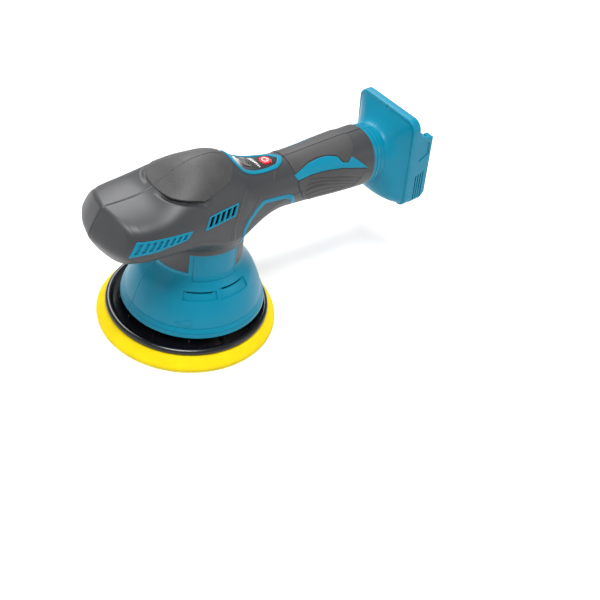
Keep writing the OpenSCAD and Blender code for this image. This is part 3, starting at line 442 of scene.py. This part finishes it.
def open_edges(faces):
    """The edges, as pairs of points, that only one face has."""
    edges = {e: None for f in faces for e in zip(f, f[1:] + f[:1])}
    return [e for e in edges if (e[1], e[0]) not in edges]


def shrink(poly, d):
    """A closed outline moved inwards by d."""
    p = np.asarray(poly, float)
    area = (p[:, 0] * np.roll(p[:, 1], -1) - np.roll(p[:, 0], -1) * p[:, 1]).sum()
    way = 1 if area > 0 else -1
    out = []
    n = len(p)
    for i in range(n):
        e1, e2 = p[i] - p[i - 1], p[(i + 1) % n] - p[i]
        n1 = np.array([-e1[1], e1[0]]) / np.linalg.norm(e1) * way
        n2 = np.array([-e2[1], e2[0]]) / np.linalg.norm(e2) * way
        out.append(p[i] + (n1 + n2) * d / max(0.3, 1 + n1 @ n2))
    return np.array(out)


def patch(outline, mode, height, depth, edge=0.35, step=0.8, holes=(), grooves=(), pockets=(),
          fixed=False):
    """A raised piece on a surface inside a flat outline, as a closed mesh on the +Y side. It stands height
    above the surface and goes depth into it, with its edge rounded by edge and points about step apart.
    Grooves are (line, half width, depth), pockets (loop, depth), and the edge of a fixed piece isn't
    rounded where it lies on the centre plane."""
    floors = [shrink(loop, 0.1) for loop, _ in pockets]
    loops = [outline, *holes, *(loop for loop, _ in pockets), *floors]
    points, edges = [], []
    for loop in loops:
        start = len(points)
        points += [tuple(p) for p in loop]
        edges += [(start + i, start + (i + 1) % len(loop)) for i in range(len(loop))]
    o = np.asarray(outline)
    lo, hi = o.min(0), o.max(0)
    extra = []
    for i, x in enumerate(np.arange(lo[0] + step / 2, hi[0], step)):
        ys = np.arange(lo[1] + step * (0.25 + 0.5 * (i % 2)), hi[1], step)
        extra.append(np.stack([np.full(len(ys), x), ys], 1))
    for loop in loops:
        loop = np.asarray(loop)
        tangent = np.roll(loop, -1, 0) - np.roll(loop, 1, 0)
        normal = np.stack([-tangent[:, 1], tangent[:, 0]], 1)
        normal /= np.maximum(np.linalg.norm(normal, axis=1), 1e-9)[:, None]
        for d in (0.12, 0.4, 1.0):
            for way in (1, -1):
                extra.append(loop + normal * (d * edge * way))
    extra = np.concatenate(extra)

    def to_loops(p):
        """Distance of points to the nearest loop."""
        return np.min([to_line(p, loop, True) for loop in loops], axis=0)

    def to_rounded(p):
        """Distance of points to the nearest edge that is rounded off."""
        d = np.full(len(p), 1e9)
        for loop in [outline, *holes]:
            ends = np.roll(loop, -1, 0)
            for a, b in zip(np.asarray(loop), ends):
                if not (fixed and abs(a[1]) < 1e-6 and abs(b[1]) < 1e-6):
                    d = np.minimum(d, to_line(p, [a, b]))
        return d

    ok = inside(extra, outline) & (to_loops(extra) > 0.1 * edge)
    for h in holes:
        ok &= ~inside(extra, h)
    extra = extra[ok]
    points = np.concatenate([np.array(points), extra])
    v2, _, faces, _, _, _ = delaunay_2d_cdt([Vector(p) for p in points], edges, [], 0, 1e-5)
    v2 = np.array([tuple(p) for p in v2])
    centres = np.array([v2[list(f)].mean(0) for f in faces])
    keep = inside(centres, outline)
    for h in holes:
        keep &= ~inside(centres, h)
    faces = [list(f) for f, k in zip(faces, keep) if k]
    used = sorted({i for f in faces for i in f})
    remap = {v: i for i, v in enumerate(used)}
    v2 = v2[used]
    faces = [[remap[i] for i in f] for f in faces]
    r = np.clip(to_rounded(v2), 0, edge)
    rise = height - edge + np.sqrt(np.clip(edge**2 - (edge - r)**2, 0, None))
    for line, half, deep in grooves:
        g = np.clip(to_line(v2, line) / half, 0, 1)
        rise -= deep * (1 - g * g * (3 - 2 * g))
    for floor, (_, deep) in zip(floors, pockets):
        rise -= deep * inside(v2, shrink(floor, -0.04))
    base, normal = on_surface(v2, mode)
    top = base + normal * rise[:, None]
    bottom = base - normal * depth
    n = len(v2)
    border = open_edges(faces)
    tri = [tuple(f) for f in faces]
    a, b, c = (top[list(tri[0])[i]] for i in range(3))
    if np.cross(b - a, c - a) @ normal[tri[0][0]] < 0:
        tri = [tuple(reversed(f)) for f in tri]
        border = [(b, a) for a, b in border]
    solid = tri + [tuple(i + n for i in reversed(f)) for f in tri]
    solid += [(b, a, a + n, b + n) for a, b in border]
    return np.concatenate([top, bottom]), solid


# ---------------------------------------------------------------- flat outlines, millimetres
# in plan (x, y) for the palm pad, bezel and fascia, otherwise in side view (x, z)
PALM = [[-42.6, 0], [-42.2, 6], [-40.5, 13.6], [-37, 20.9], [-28.8, 27.4], [-17.4, 30.6], [-13.5, 30],
        [-0.7, 26.6], [9.3, 23.3], [13.8, 18.5], [16.7, 12.6], [17.5, 6.5], [17, 0]]
BEZEL = [[19, 0], [19.4, 5], [20.8, 10], [24.7, 15], [33.5, 14.8], [51.9, 12.2], [62.8, 10.5], [70.6, 5.8],
         [74.4, 0]]
FASCIA = [[23.6, 0], [24.2, 8], [27, 11.5], [33, 11.4], [39.2, 10.8], [52.8, 8.8], [64.3, 6.2], [69.6, 0]]
GRILLE = [[-80.3, 107.9], [-73.4, 119.2], [-30.8, 119.3], [-35.5, 113.6], [-59.9, 109.6]]
VENT = [[-20.8, 115.9], [-15.7, 125], [12.4, 126.6], [8.3, 117.7]]
UPPER_GRIP = [[76.2, 150], [75.6, 132], [76.4, 125.8], [77, 125.6], [91.8, 130], [101, 131.6],
              [110, 132.3], [119.3, 131.3], [122.8, 127.1], [128.4, 126.2], [132.4, 129.8], [135, 132.5],
              [138, 135.6], [139.2, 138], [139.2, 150]]
LOWER_GRIP = [[78, 120.2], [91.6, 122.1], [104.3, 122.8], [122, 122.1], [149, 117.2], [148.3, 112.3],
              [141, 101.4], [124, 100], [107.4, 97.7], [94, 97], [86, 101], [79, 114]]
INLAY = [[75, 124.8], [91.8, 129.6], [101, 131.2], [110, 131.9], [119, 130.9], [122.4, 126.7],
         [128.5, 125.8], [132.6, 129.6], [149.2, 117.6], [122, 122.5], [104.3, 123.2], [91.6, 122.5],
         [78, 120.6]]
STRIPE = [[15.4, 88.4], [16.6, 102.7], [21.8, 109.2], [30, 113.9], [38.4, 117.4], [41.7, 117.3],
          [67.4, 112.7], [72.3, 110.5], [76.6, 103.5], [75.7, 99.8], [72.4, 101.4], [69.6, 107.4],
          [65, 109.9], [41.6, 114.6], [33.4, 112], [25.3, 107], [19.4, 101], [18.4, 88.4]]
RELIEFS = [[[24, 134], [22.1, 131.7], [17.5, 127.7], [12.8, 121], [8.2, 111.1], [4.1, 99.3], [10.7, 99.6],
            [18.6, 109.4], [35.4, 120.7]],
           [[61, 131.6], [56, 127.5], [51, 123]]]


def flow(points, n=8):
    """A smooth line through points."""
    p = np.asarray(points, float)
    q = np.concatenate([2*p[:1] - p[1:2], p, 2*p[-1:] - p[-2:-1]])
    out = []
    for a, b, c, d in zip(q, q[1:], q[2:], q[3:]):
        for t in np.arange(n) / n:
            out.append(0.5 * (2*b + (c - a)*t + (2*a - 5*b + 4*c - d)*t*t + (3*b - a - 3*c + d)*t**3))
    return np.array(out + [p[-1]])


PALM = np.concatenate([flow(PALM[:6])[:-1], PALM[5:8], flow(PALM[8:])])
# the bell's outer profile (r, z)
BELL = flow([[59.8, 21.5], [58.8, 25.2], [56.8, 28.8], [54.4, 36.5], [50.9, 45], [46.9, 52.6], [41.8, 58.6],
             [38.4, 63], [37, 65.8], [37, 68], [37, 90]], 16)


def body_displaced():
    """The body's surface with its seam, relief lines and the hollow round the palm pad."""
    relief, relief_half = 0.38, 0.55
    hollow, hollow_half = 2.6, 3.6
    seam, seam_half = 0.6, 0.7
    push = np.zeros(len(AT))
    xz, xy = AT[:, [0, 2]], AT[:, [0, 1]]
    side = AT[:, 1] > 12
    for line in RELIEFS:
        push -= np.where(side, relief * np.exp(-(to_line(xz, flow(line)) / relief_half) ** 2), 0)
    near = (AT[:, 2] > 112) & (AT[:, 0] > -52) & (AT[:, 0] < 24)
    d = to_line(xy[near], PALM[:np.argmax(PALM[:, 1]) + 8])
    front = np.clip((-xy[near, 0] - 10) / 12, 0, 1) * np.clip((xy[near, 1] - 5) / 12, 0, 1)
    push[near] += hollow * front * np.clip(1 - (d / hollow_half) ** 2, 0, 1) ** 1.5
    push += np.where(AT[:, 1] < seam_half, seam * (1 - AT[:, 1] / seam_half), 0)
    return (AT - AT_N * push[:, None]).reshape(SURFACE.shape)


def shell(outer, inner, hole=None):
    """A closed wall between two grids of points of the same size, open where hole is true."""
    rows, cols = outer.shape[:2]
    n = rows * cols
    verts = np.concatenate([outer.reshape(-1, 3), inner.reshape(-1, 3)])
    quads = grid_faces(rows, cols)
    if hole is not None:
        quads = quads[~hole.ravel()]
    quads = quads.tolist()
    faces = quads + [[i + n for i in reversed(f)] for f in quads]
    faces += [[b, a, a + n, b + n] for a, b in sorted(open_edges(quads))]
    a, b, c, _ = quads[len(quads) // 2]
    if np.cross(verts[b] - verts[a], verts[c] - verts[a]) @ (verts[a] - verts[a + n]) < 0:
        faces = [f[::-1] for f in faces]
    return verts, faces


def body_half(side, name):
    """Half of the body: a wall open under the vent, the grille and the control panel, and its collar."""
    outer = body_displaced()
    mid = outer.reshape(-1, 3)[QUADS].mean(1)
    xz = mid[:, [0, 2]]
    hole = (inside(xz, shrink(VENT, 0.7)) | inside(xz, shrink(GRILLE, 1))) & (mid[:, 1] > 20)
    panel = [[25.5, -1], [26, 7], [28, 9.5], [33, 9.4], [52, 6.8], [62, 4.5], [66, -1]]
    hole |= inside(mid[:, [0, 1]], panel) & (mid[:, 2] > 120)
    v, f = mirrored(*joined([shell(outer, body_grid(WALL), hole), *skirt()]), side)
    add_mesh(name, v, f, "body_grey", smooth=38)


def revolve(profile, a0, a1, steps):
    """A closed profile of (r, z) swept between two azimuths, as a closed mesh."""
    profile = np.asarray(profile, float)
    m = len(profile)
    angles = np.radians(np.linspace(a0, a1, steps + 1))
    verts = np.concatenate([np.stack([profile[:, 0] * math.cos(a), profile[:, 0] * math.sin(a),
                                      profile[:, 1]], 1) for a in angles])
    faces = []
    for j in range(steps):
        for k in range(m):
            a, b = j * m + k, j * m + (k + 1) % m
            faces.append((a, a + m, b + m, b))
    if a1 - a0 >= 359.9:
        last = steps * m
        faces = [tuple(i - last if i >= last else i for i in f) for f in faces]
        verts = verts[:last]
    else:
        faces += [tuple(range(m)), tuple(reversed(range(steps * m, steps * m + m)))]
    area = sum(profile[i - 1][0] * profile[i][1] - profile[i][0] * profile[i - 1][1] for i in range(m))
    if area < 0:
        faces = [tuple(reversed(f)) for f in faces]
    return verts, faces


def skirt():
    """The round collar under the body that reaches down over the bell's sleeve, on both sides of its tab."""
    top, e, inner = NECK_Z + 0.25, 0.35, 34.25
    return [revolve([[inner, z], [NECK_R - e, z], [NECK_R - 0.1, z + 0.1], [NECK_R, z + e], [NECK_R, top],
                     [inner, top]], a0, a1, 60) for z, a0, a1 in ((COLLAR_LOW[0], 132, 180),
                                                                  (COLLAR_LOW[1], 0, 66))]


COLLAR_LOW = (68.4, 66.0)        # the collar's lower edge towards the nose and towards the handle
TAB = (66.3, 131.7)              # azimuths of the bell's tab between the two parts of the collar


def bell_half(side, name):
    """Half of the bell: a smooth wall with recesses, slots, grooves and an arrow, and its inner sleeve."""
    wall, near = 2.7, 0.04

    def steps(values, marks):
        """The values and two more close to each mark, where the surface steps."""
        return np.unique(np.round(np.concatenate([values, *[[m - near, m + near] for m in marks]]), 4))

    frame_a, frame_z = ((68.5, 69.2), (125.8, 126.5)), ((62, 62.7), (86.6, 87.3))
    pockets = [(99.8, 133.5, 50, 56), (62, 96.4, 49.4, 57)]
    slots = [(104, 131, 54.2, 55.6), (65, 93, 55, 56.4)]
    marks_a = [m for pair in frame_a for m in pair] + [m for q in pockets + slots for m in q[:2]] + [*TAB]
    marks_z = [m for pair in frame_z for m in pair] + [m for q in pockets + slots for m in q[2:]]
    marks_z += [24.8, 25.2, 28.6, 29, *COLLAR_LOW, 47.6, 48.0]
    az = np.clip(steps(np.linspace(0, 180, 241), marks_a), 0, 180)
    zs = steps(np.linspace(21.5, 90, 100), marks_z)
    zs = zs[(zs >= 21.5) & (zs <= 90)]
    a, z = np.meshgrid(az, zs, indexing="ij")
    r = np.interp(z, BELL[:, 1], BELL[:, 0])
    push = np.zeros_like(r)

    def box(q):
        return (a > q[0]) & (a < q[1]) & (z > q[2]) & (z < q[3])

    for q in pockets:
        push[box(q)] = 1.3
    for lo, hi in frame_a:
        push[box((lo, hi, 62, 87.3))] += 0.5
    for lo, hi in frame_z:
        push[box((68.5, 126.5, lo, hi))] += 0.5
    for lo in (24.8, 28.6):
        push[(z > lo) & (z < lo + 0.4)] += 0.35
    push[np.minimum(a, 180 - a) < 0.5] += 0.4
    ring = np.radians(a)

    def points(r):
        """The grid's points at radius r."""
        return np.stack([r * np.cos(ring), r * np.sin(ring), z], 2)

    hole = np.zeros(r[:-1, :-1].shape, bool)
    am, zm = 0.5 * (a[:-1, :-1] + a[1:, 1:]), 0.5 * (z[:-1, :-1] + z[1:, 1:])
    for q in slots:
        hole |= (am > q[0]) & (am < q[1]) & (zm > q[2]) & (zm < q[3])
    tab = (am > TAB[0]) & (am < TAB[1])
    hole |= ~tab & (zm > np.where(am > 100, *COLLAR_LOW))
    sleeve = revolve([[31.5, 61], [33.5, 61], [33.5, 79.6], [33.1, 80], [31.5, 80]], 0, 180, 90)
    arrow = patch(resample([[124, 30], [137, 33], [124, 36]], 0.6, 0.5), "bell", 0.45, 0.6,
                  edge=0.3, step=0.8)
    v, f = mirrored(*joined([shell(points(r - push), points(r - wall), hole), sleeve, arrow]), side)
    add_mesh(name, v, f, "teal_plastic", smooth=32)


def add_patch(name, mat, patch_args, side=1, slot=None, smooth=40, **options):
    """A patch as an object of its own; patch_args and options are what patch() takes."""
    v, f = mirrored(*patch(*patch_args, **options), side)
    add_mesh(name, v, f, mat, smooth=smooth)


SIDES = ((-1, "left"), (1, "right"))
for side, word in SIDES:
    body_half(side, f"body_{word}")
    bell_half(side, f"bell_{word}")

louvres = []
for i in range(8):
    x, z, top = -76.6 + 5.2*i, 109.9 + 0.6*i, 117.9
    lean = 0.58 * (top - z)
    louvre = [[x, z], [x + lean, top], [x + 2.8 + lean, top], [x + 2.8, z + 0.2]]
    louvres.append((resample(louvre, 0.5), 1.1))
slots = [resample([[-17.9 + 5.3*i, 117.2 + 0.3*i], [-14.3 + 5.3*i, 124 + 0.25*i],
                   [-10.8 + 5.3*i, 124.2 + 0.25*i], [-14.4 + 5.3*i, 117.4 + 0.3*i]], 0.6, 0.4)
         for i in range(5)]
for side, word in SIDES:
    add_patch(f"palm_pad_{word}", "palm_rubber", (resample(PALM, 0.7), "plan", 0.55, 0.8), side,
              slot="soft_rubber", edge=0.5, step=0.9, fixed=True, grooves=[([[-60, 0], [40, 0]], 0.6, 0.5)])
    add_patch(f"nose_grille_{word}", "teal_plastic", (resample(GRILLE, 0.6, 1.2), "side", 0.5, 1.8), side,
              smooth=30, edge=0.35, step=0.6, pockets=louvres)
    add_patch(f"side_vent_{word}", "teal_plastic", (resample(VENT, 0.6, 0.8), "side", 0.5, 0.6), side,
              edge=0.3, step=0.7, holes=slots)
    add_patch(f"trim_stripe_{word}", "teal_plastic", (resample(STRIPE, 0.6, 0.8), "side", 0.5, 1.0), side,
              edge=0.35, step=0.7)


def arc(points, n=24):
    """A curve through three side-view points, wrapped round the handle."""
    p = np.asarray(points, float)
    t = np.linspace(0, 1, n)[:, None]
    return wrap_line((1 - t)**2 * p[0] + 2*t*(1 - t) * (2 * p[1] - (p[0] + p[2]) / 2) + t*t * p[2])


def wrapped(outline, corner, step):
    """A side-view outline with rounded corners, wrapped round the handle, with points every step."""
    return resample(wrap_line(resample(outline, 400, corner)), step)


finger_grooves = [[[89.5, 119.4], [109.4, 117], [142, 110.6]], [[86.2, 115], [107, 114.6], [141, 107.5]],
                  [[84.7, 110.5], [105, 112], [139.2, 104.3]], [[86.4, 106.6], [109.6, 107.6], [136.4, 102.6]],
                  [[89.8, 103.2], [113.4, 103], [132.6, 101.5]]]
for side, word in SIDES:
    upper = patch(wrapped(UPPER_GRIP, 1.5, 0.8), "wrap", 0.75, 0.8, edge=0.55, step=1.0, fixed=True,
                  grooves=[([[60, 0], [160, 0]], 0.6, 0.55)])
    lower = patch(wrapped(LOWER_GRIP, 2.5, 0.8), "wrap", 0.75, 0.8, edge=0.55, step=0.7,
                  grooves=[(arc(g), 1.15, 0.72) for g in finger_grooves])
    v, f = mirrored(*joined([upper, lower]), side)
    add_mesh(f"handle_grip_{word}", v, f, "soft_rubber")
    add_patch(f"handle_inlay_{word}", "teal_plastic", (wrapped(INLAY, 1.0, 0.6), "wrap", 0.8, 1.0), side,
              edge=0.45, step=0.8)

# ---------------------------------------------------------------- battery foot
# it leans, so its heights and depths are measured along UP and OUT
LEAN = math.radians(8)
OUT, UP = np.array([math.cos(LEAN), 0, math.sin(LEAN)]), np.array([-math.sin(LEAN), 0, math.cos(LEAN)])
Y = np.array([0.0, 1, 0])
PLATE_U, RAIL_U, FOOT_Y = 201.6, 226.0, 36.0
BOX_FACES = [[0, 1, 3, 2], [4, 6, 7, 5], [0, 4, 5, 1], [2, 3, 7, 6], [0, 2, 6, 4], [1, 5, 7, 3]]


def slab_line(half, v0, v1, r, n=14):
    """The +Y half of a rounded rectangle between heights v0 and v1, from top to bottom."""
    a = np.linspace(math.pi / 2, 0, n)
    top = np.stack([half - r + r * np.cos(a), v1 - r + r * np.sin(a)], 1)
    bottom = np.stack([half - r + r * np.cos(a[::-1]), v0 + r - r * np.sin(a[::-1])], 1)
    return np.concatenate([[[0, v1]], top, bottom, [[0, v0]]])


def evenly(line, n):
    """n points spread evenly along a line."""
    d = np.concatenate([[0], np.cumsum(np.linalg.norm(np.diff(line, axis=0), axis=1))])
    t = np.linspace(0, d[-1], n)
    return np.stack([np.interp(t, d, line[:, 0]), np.interp(t, d, line[:, 1])], 1)


def foot_neck(inset):
    """Rows of points from the grooved collar in the handle out to the plate's front."""
    rows = []
    seam = 0.4
    ring = evenly(section(157, 1 + inset)[:, 1:], 121)
    ring[0, 1] -= seam
    centre = np.array([0, 113.5])
    for x, d in ((152, 0), (156.6, 0), (157, 0), (159.4, 0), (159.7, .5), (160.6, .5), (160.9, 0), (163.4, 0),
                 (163.7, .5), (164.6, .5), (164.9, 0), (168.4, 0), (168.9, .25), (169, .7)):
        out = (ring - centre) / np.linalg.norm(ring - centre, axis=1)[:, None]
        q = ring - out * (d if inset < 1 else 0)
        rows.append(np.stack([np.full(len(q), x), q[:, 0], q[:, 1]], 1))
    start = rows[-1]
    end = evenly(slab_line(FOOT_Y - 1.7 - inset, 42.7 + inset, 128.3 - inset, 8), 121)
    end[0, 1] -= seam
    target = (PLATE_U + 0.5 + 0.6 * inset) * OUT + end[:, :1] * Y + end[:, 1:] * UP
    down = np.clip((92 - end[:, 1]) / 42, 0, 1)
    down = down * down * (3 - 2 * down) * (1 - 0.5 * (end[:, 0] / FOOT_Y) ** 2)
    power = 1.2 + 0.9 * np.clip((end[:, 1] - 95) / 30, 0, 1)
    for t in np.linspace(0, 1, 40)[1:]:
        grow = ((1 - down) * t ** power + down * (1 - (1 - t) ** 3.2))[:, None]
        flat = start + (target - start) * grow
        along = start[:, 0] + (target[:, 0] - start[:, 0]) * t
        rows.append(np.stack([along, flat[:, 1], flat[:, 2]], 1))
    return np.stack(rows)


def block(u, y, v):
    """A box on the leaning foot."""
    return np.array([a * OUT + b * Y + c * UP for a in u for b in y for c in v]), BOX_FACES


def foot_half(side, name):
    """Half of the foot: its hollow neck, the plate, the cheek with a sunk panel and slots, and the rail."""
    plate = patch(resample(slab_line(FOOT_Y, 41, 130, 9), 0.9), ("flat", (PLATE_U + 1.8) * OUT, Y, UP, -OUT),
                  1.8, 5.6, edge=1.6, step=2.4, fixed=True)
    cheek = [[208.4, 45.4], [222, 45.4], [226, 50.4], [226, 109.5], [221.4, 109.5], [215, 112.4], [211, 117.4],
             [208.4, 122]]
    panel = [[212.6, 107.4], [218.6, 107.6], [223.4, 104.4], [223.4, 92.6], [212.6, 87.2]]
    ribs = [[[u, 47.4], [u + 1.4, 47.4], [u + 1.4, 73.4 + 0.7*k], [u, 72.6 + 0.7*k]]
            for k, u in enumerate((211.8, 214.5, 217.2, 219.9))]
    pockets = [(resample(panel, 0.9, 1.0), 0.8)] + [(resample(r, 0.8), 1.0) for r in ribs]
    cheek = patch(resample(cheek, 0.9, 0.8), ("flat", (FOOT_Y - 0.7) * Y, OUT, UP, Y), 0.4, 3.8,
                  edge=0.5, step=1.5, pockets=pockets)
    v, f = mirrored(*joined([shell(foot_neck(0), foot_neck(3.2)), plate, cheek,
                             block((222, RAIL_U), (27.5, FOOT_Y - 0.8), (51, 109.3)),
                             block((207, 221), (0, FOOT_Y - 1), (104, 109.4))]), side)
    add_mesh(name, v, f, "teal_plastic", smooth=32)


for side, word in SIDES:
    foot_half(side, f"foot_{word}")


# ---------------------------------------------------------------- control panel
BUTTON_X = 57.5


def whole(outline):
    """An outline over both sides from one given for the +Y side."""
    return outline + [[x, -y] for x, y in reversed(outline) if y > 0]


def circle(r, n=72):
    """A circle round the power button."""
    a = np.linspace(0, 2 * math.pi, n, endpoint=False)
    return np.stack([BUTTON_X + r * np.cos(a), r * np.sin(a)], 1)


fascia_hole = resample(whole(FASCIA), 0.6, 2.0)
window_hole = resample([[33.2, -6.52], [40.8, -6.52], [40.8, 6.52], [33.2, 6.52]], 0.6)
add_patch("panel_bezel", "teal_plastic", (resample(whole(BEZEL), 0.6, 2.5), "plan", 0.95, 1.2),
          edge=0.5, step=0.8, holes=[fascia_hole])
add_patch("panel_fascia", "gloss_black", (shrink(fascia_hole, 0.12), "plan", 0.4, 1.4), edge=0.2, step=0.7,
          holes=[window_hole, circle(5.3)], grooves=[(circle(6.4, 90), 0.3, 0.2)])

# ---------------------------------------------------------------- pad
OFFSET = 4.5                     # the pad's axis stands this far off the motor's


def foam():
    """The foam disc, a turned shape with a slightly uneven, open-celled side."""
    profile = [[0, 1.62], [40, 1.62], [74.2, 1.62], [74.75, 2.1], [74.95, 3.0], [74.8, 4.2], [74.2, 5.4],
               [73.2, 6.6], [71.8, 8.2], [70.2, 9.9], [68.6, 11.2], [67.3, 11.9], [66.8, 12.0],
               [30, 12.0], [0, 12.0]]
    dense = []
    for a, b in zip(profile, profile[1:]):
        n = max(1, int(math.hypot(b[0] - a[0], b[1] - a[1]) / 0.9)) if a[0] > 60 or b[0] > 60 else 6
        dense += [[a[0] + (b[0] - a[0]) * i / n, a[1] + (b[1] - a[1]) * i / n] for i in range(1, n + 1)]
    v, f = revolve([[0.01, 1.62], *dense[:-1], [0.01, 12.0]], 0, 360, 480)
    rng = np.random.default_rng(7)
    r = np.hypot(v[:, 0], v[:, 1])
    rough = rng.normal(0, 1, len(v))
    soft = (r > 67.5) & (v[:, 2] > 1.8) & (v[:, 2] < 11.8)
    scale = 1 - np.where(soft, 0.00055 * np.abs(rough), 0)
    v[:, :2] *= scale[:, None]
    v[:, 0] -= OFFSET
    return add_mesh("foam_pad", v, f, "foam", body="pad", smooth=60)


foam()


def backing_plate():
    """The moulded plate: a turned dish with a rounded rim, a hub and twelve ribs."""
    rim = flow([[66.9, 12.0], [67.7, 12.9], [67.8, 14.2], [67.2, 15.6], [65.8, 16.5], [64.2, 16.4],
                [62.6, 15.4], [61.2, 14.6]], 6)
    parts = [revolve([[0.01, 12.0], [60, 12.0], *rim.tolist(), [16.6, 14.6], [16, 15.2], [16, 21.5],
                      [15.5, 22], [9, 22], [9, 15], [0.01, 15]], 0, 360, 240)]
    for i in range(12):
        a = math.radians(30 * i)
        way, across = np.array([math.cos(a), math.sin(a), 0]), np.array([-math.sin(a), math.cos(a), 0])
        c = [r * way + w * across + h * np.array([0, 0, 1])
             for r in (15, 55) for w in (-1, 1) for h in (13, 17)]
        parts.append((np.array(c), BOX_FACES))
    v, f = joined(parts)
    add_mesh("backing_plate", np.array(v) - [OFFSET, 0, 0], f, "plate_black", body="pad")


backing_plate()

# ---------------------------------------------------------------- room, light and camera
def light(name, place, target, size, power):
    """A round soft light of size metres at place, facing target."""
    lamp = bpy.data.lights.new(name, "AREA")
    lamp.shape = "DISK"
    lamp.size = size
    lamp.energy = power
    o = bpy.data.objects.new(name, lamp)
    bpy.context.scene.collection.objects.link(o)
    o.location = place
    o.rotation_mode = "QUATERNION"
    o.rotation_quaternion = (Vector(target) - Vector(place)).to_track_quat("-Z", "Y")


scene = bpy.context.scene
bpy.ops.mesh.primitive_plane_add(size=30, location=(0, 0, 0))
floor = bpy.context.object
floor.name = "floor"
paint = bpy.data.materials.new("floor_white")
paint.use_nodes = True
paint.node_tree.nodes["Principled BSDF"].inputs["Base Color"].default_value = (0.93, 0.93, 0.93, 1)
paint.node_tree.nodes["Principled BSDF"].inputs["Roughness"].default_value = 0.9
floor.data.materials.append(paint)

world = bpy.data.worlds.new("studio")
scene.world = world
world.use_nodes = True
sky = world.node_tree.nodes["Background"]
sky.inputs["Color"].default_value = (1, 1, 1, 1)
sky.inputs["Strength"].default_value = 0.52
light("key", (-0.35, -0.3, 1.9), (0.03, 0, 0.1), 1.0, 36)
light("rim", (0.4, 1.2, 1.3), (0.03, 0, 0.1), 1.0, 20)
light("side", (1.1, -1.2, 0.7), (0.06, 0, 0.1), 0.9, 3)
light("front", (-1.5, 0.2, 0.7), (0, 0, 0.1), 0.8, 2)

camera = bpy.data.cameras.new("camera")
camera.lens = 50.71
camera.sensor_width = 36
eye = bpy.data.objects.new("camera", camera)
scene.collection.objects.link(eye)
# the camera's right, up and backward directions
turn = Matrix(((0.7931, -0.5909, 0.1477),
               (0.3026, 0.5928, 0.7464),
               (-0.5285, -0.5473, 0.6490))).transposed()
eye.matrix_world = Matrix.Translation((-0.3061, -0.4465, 0.4876)) @ turn.to_4x4()
scene.camera = eye
scene.view_settings.view_transform = "Standard"
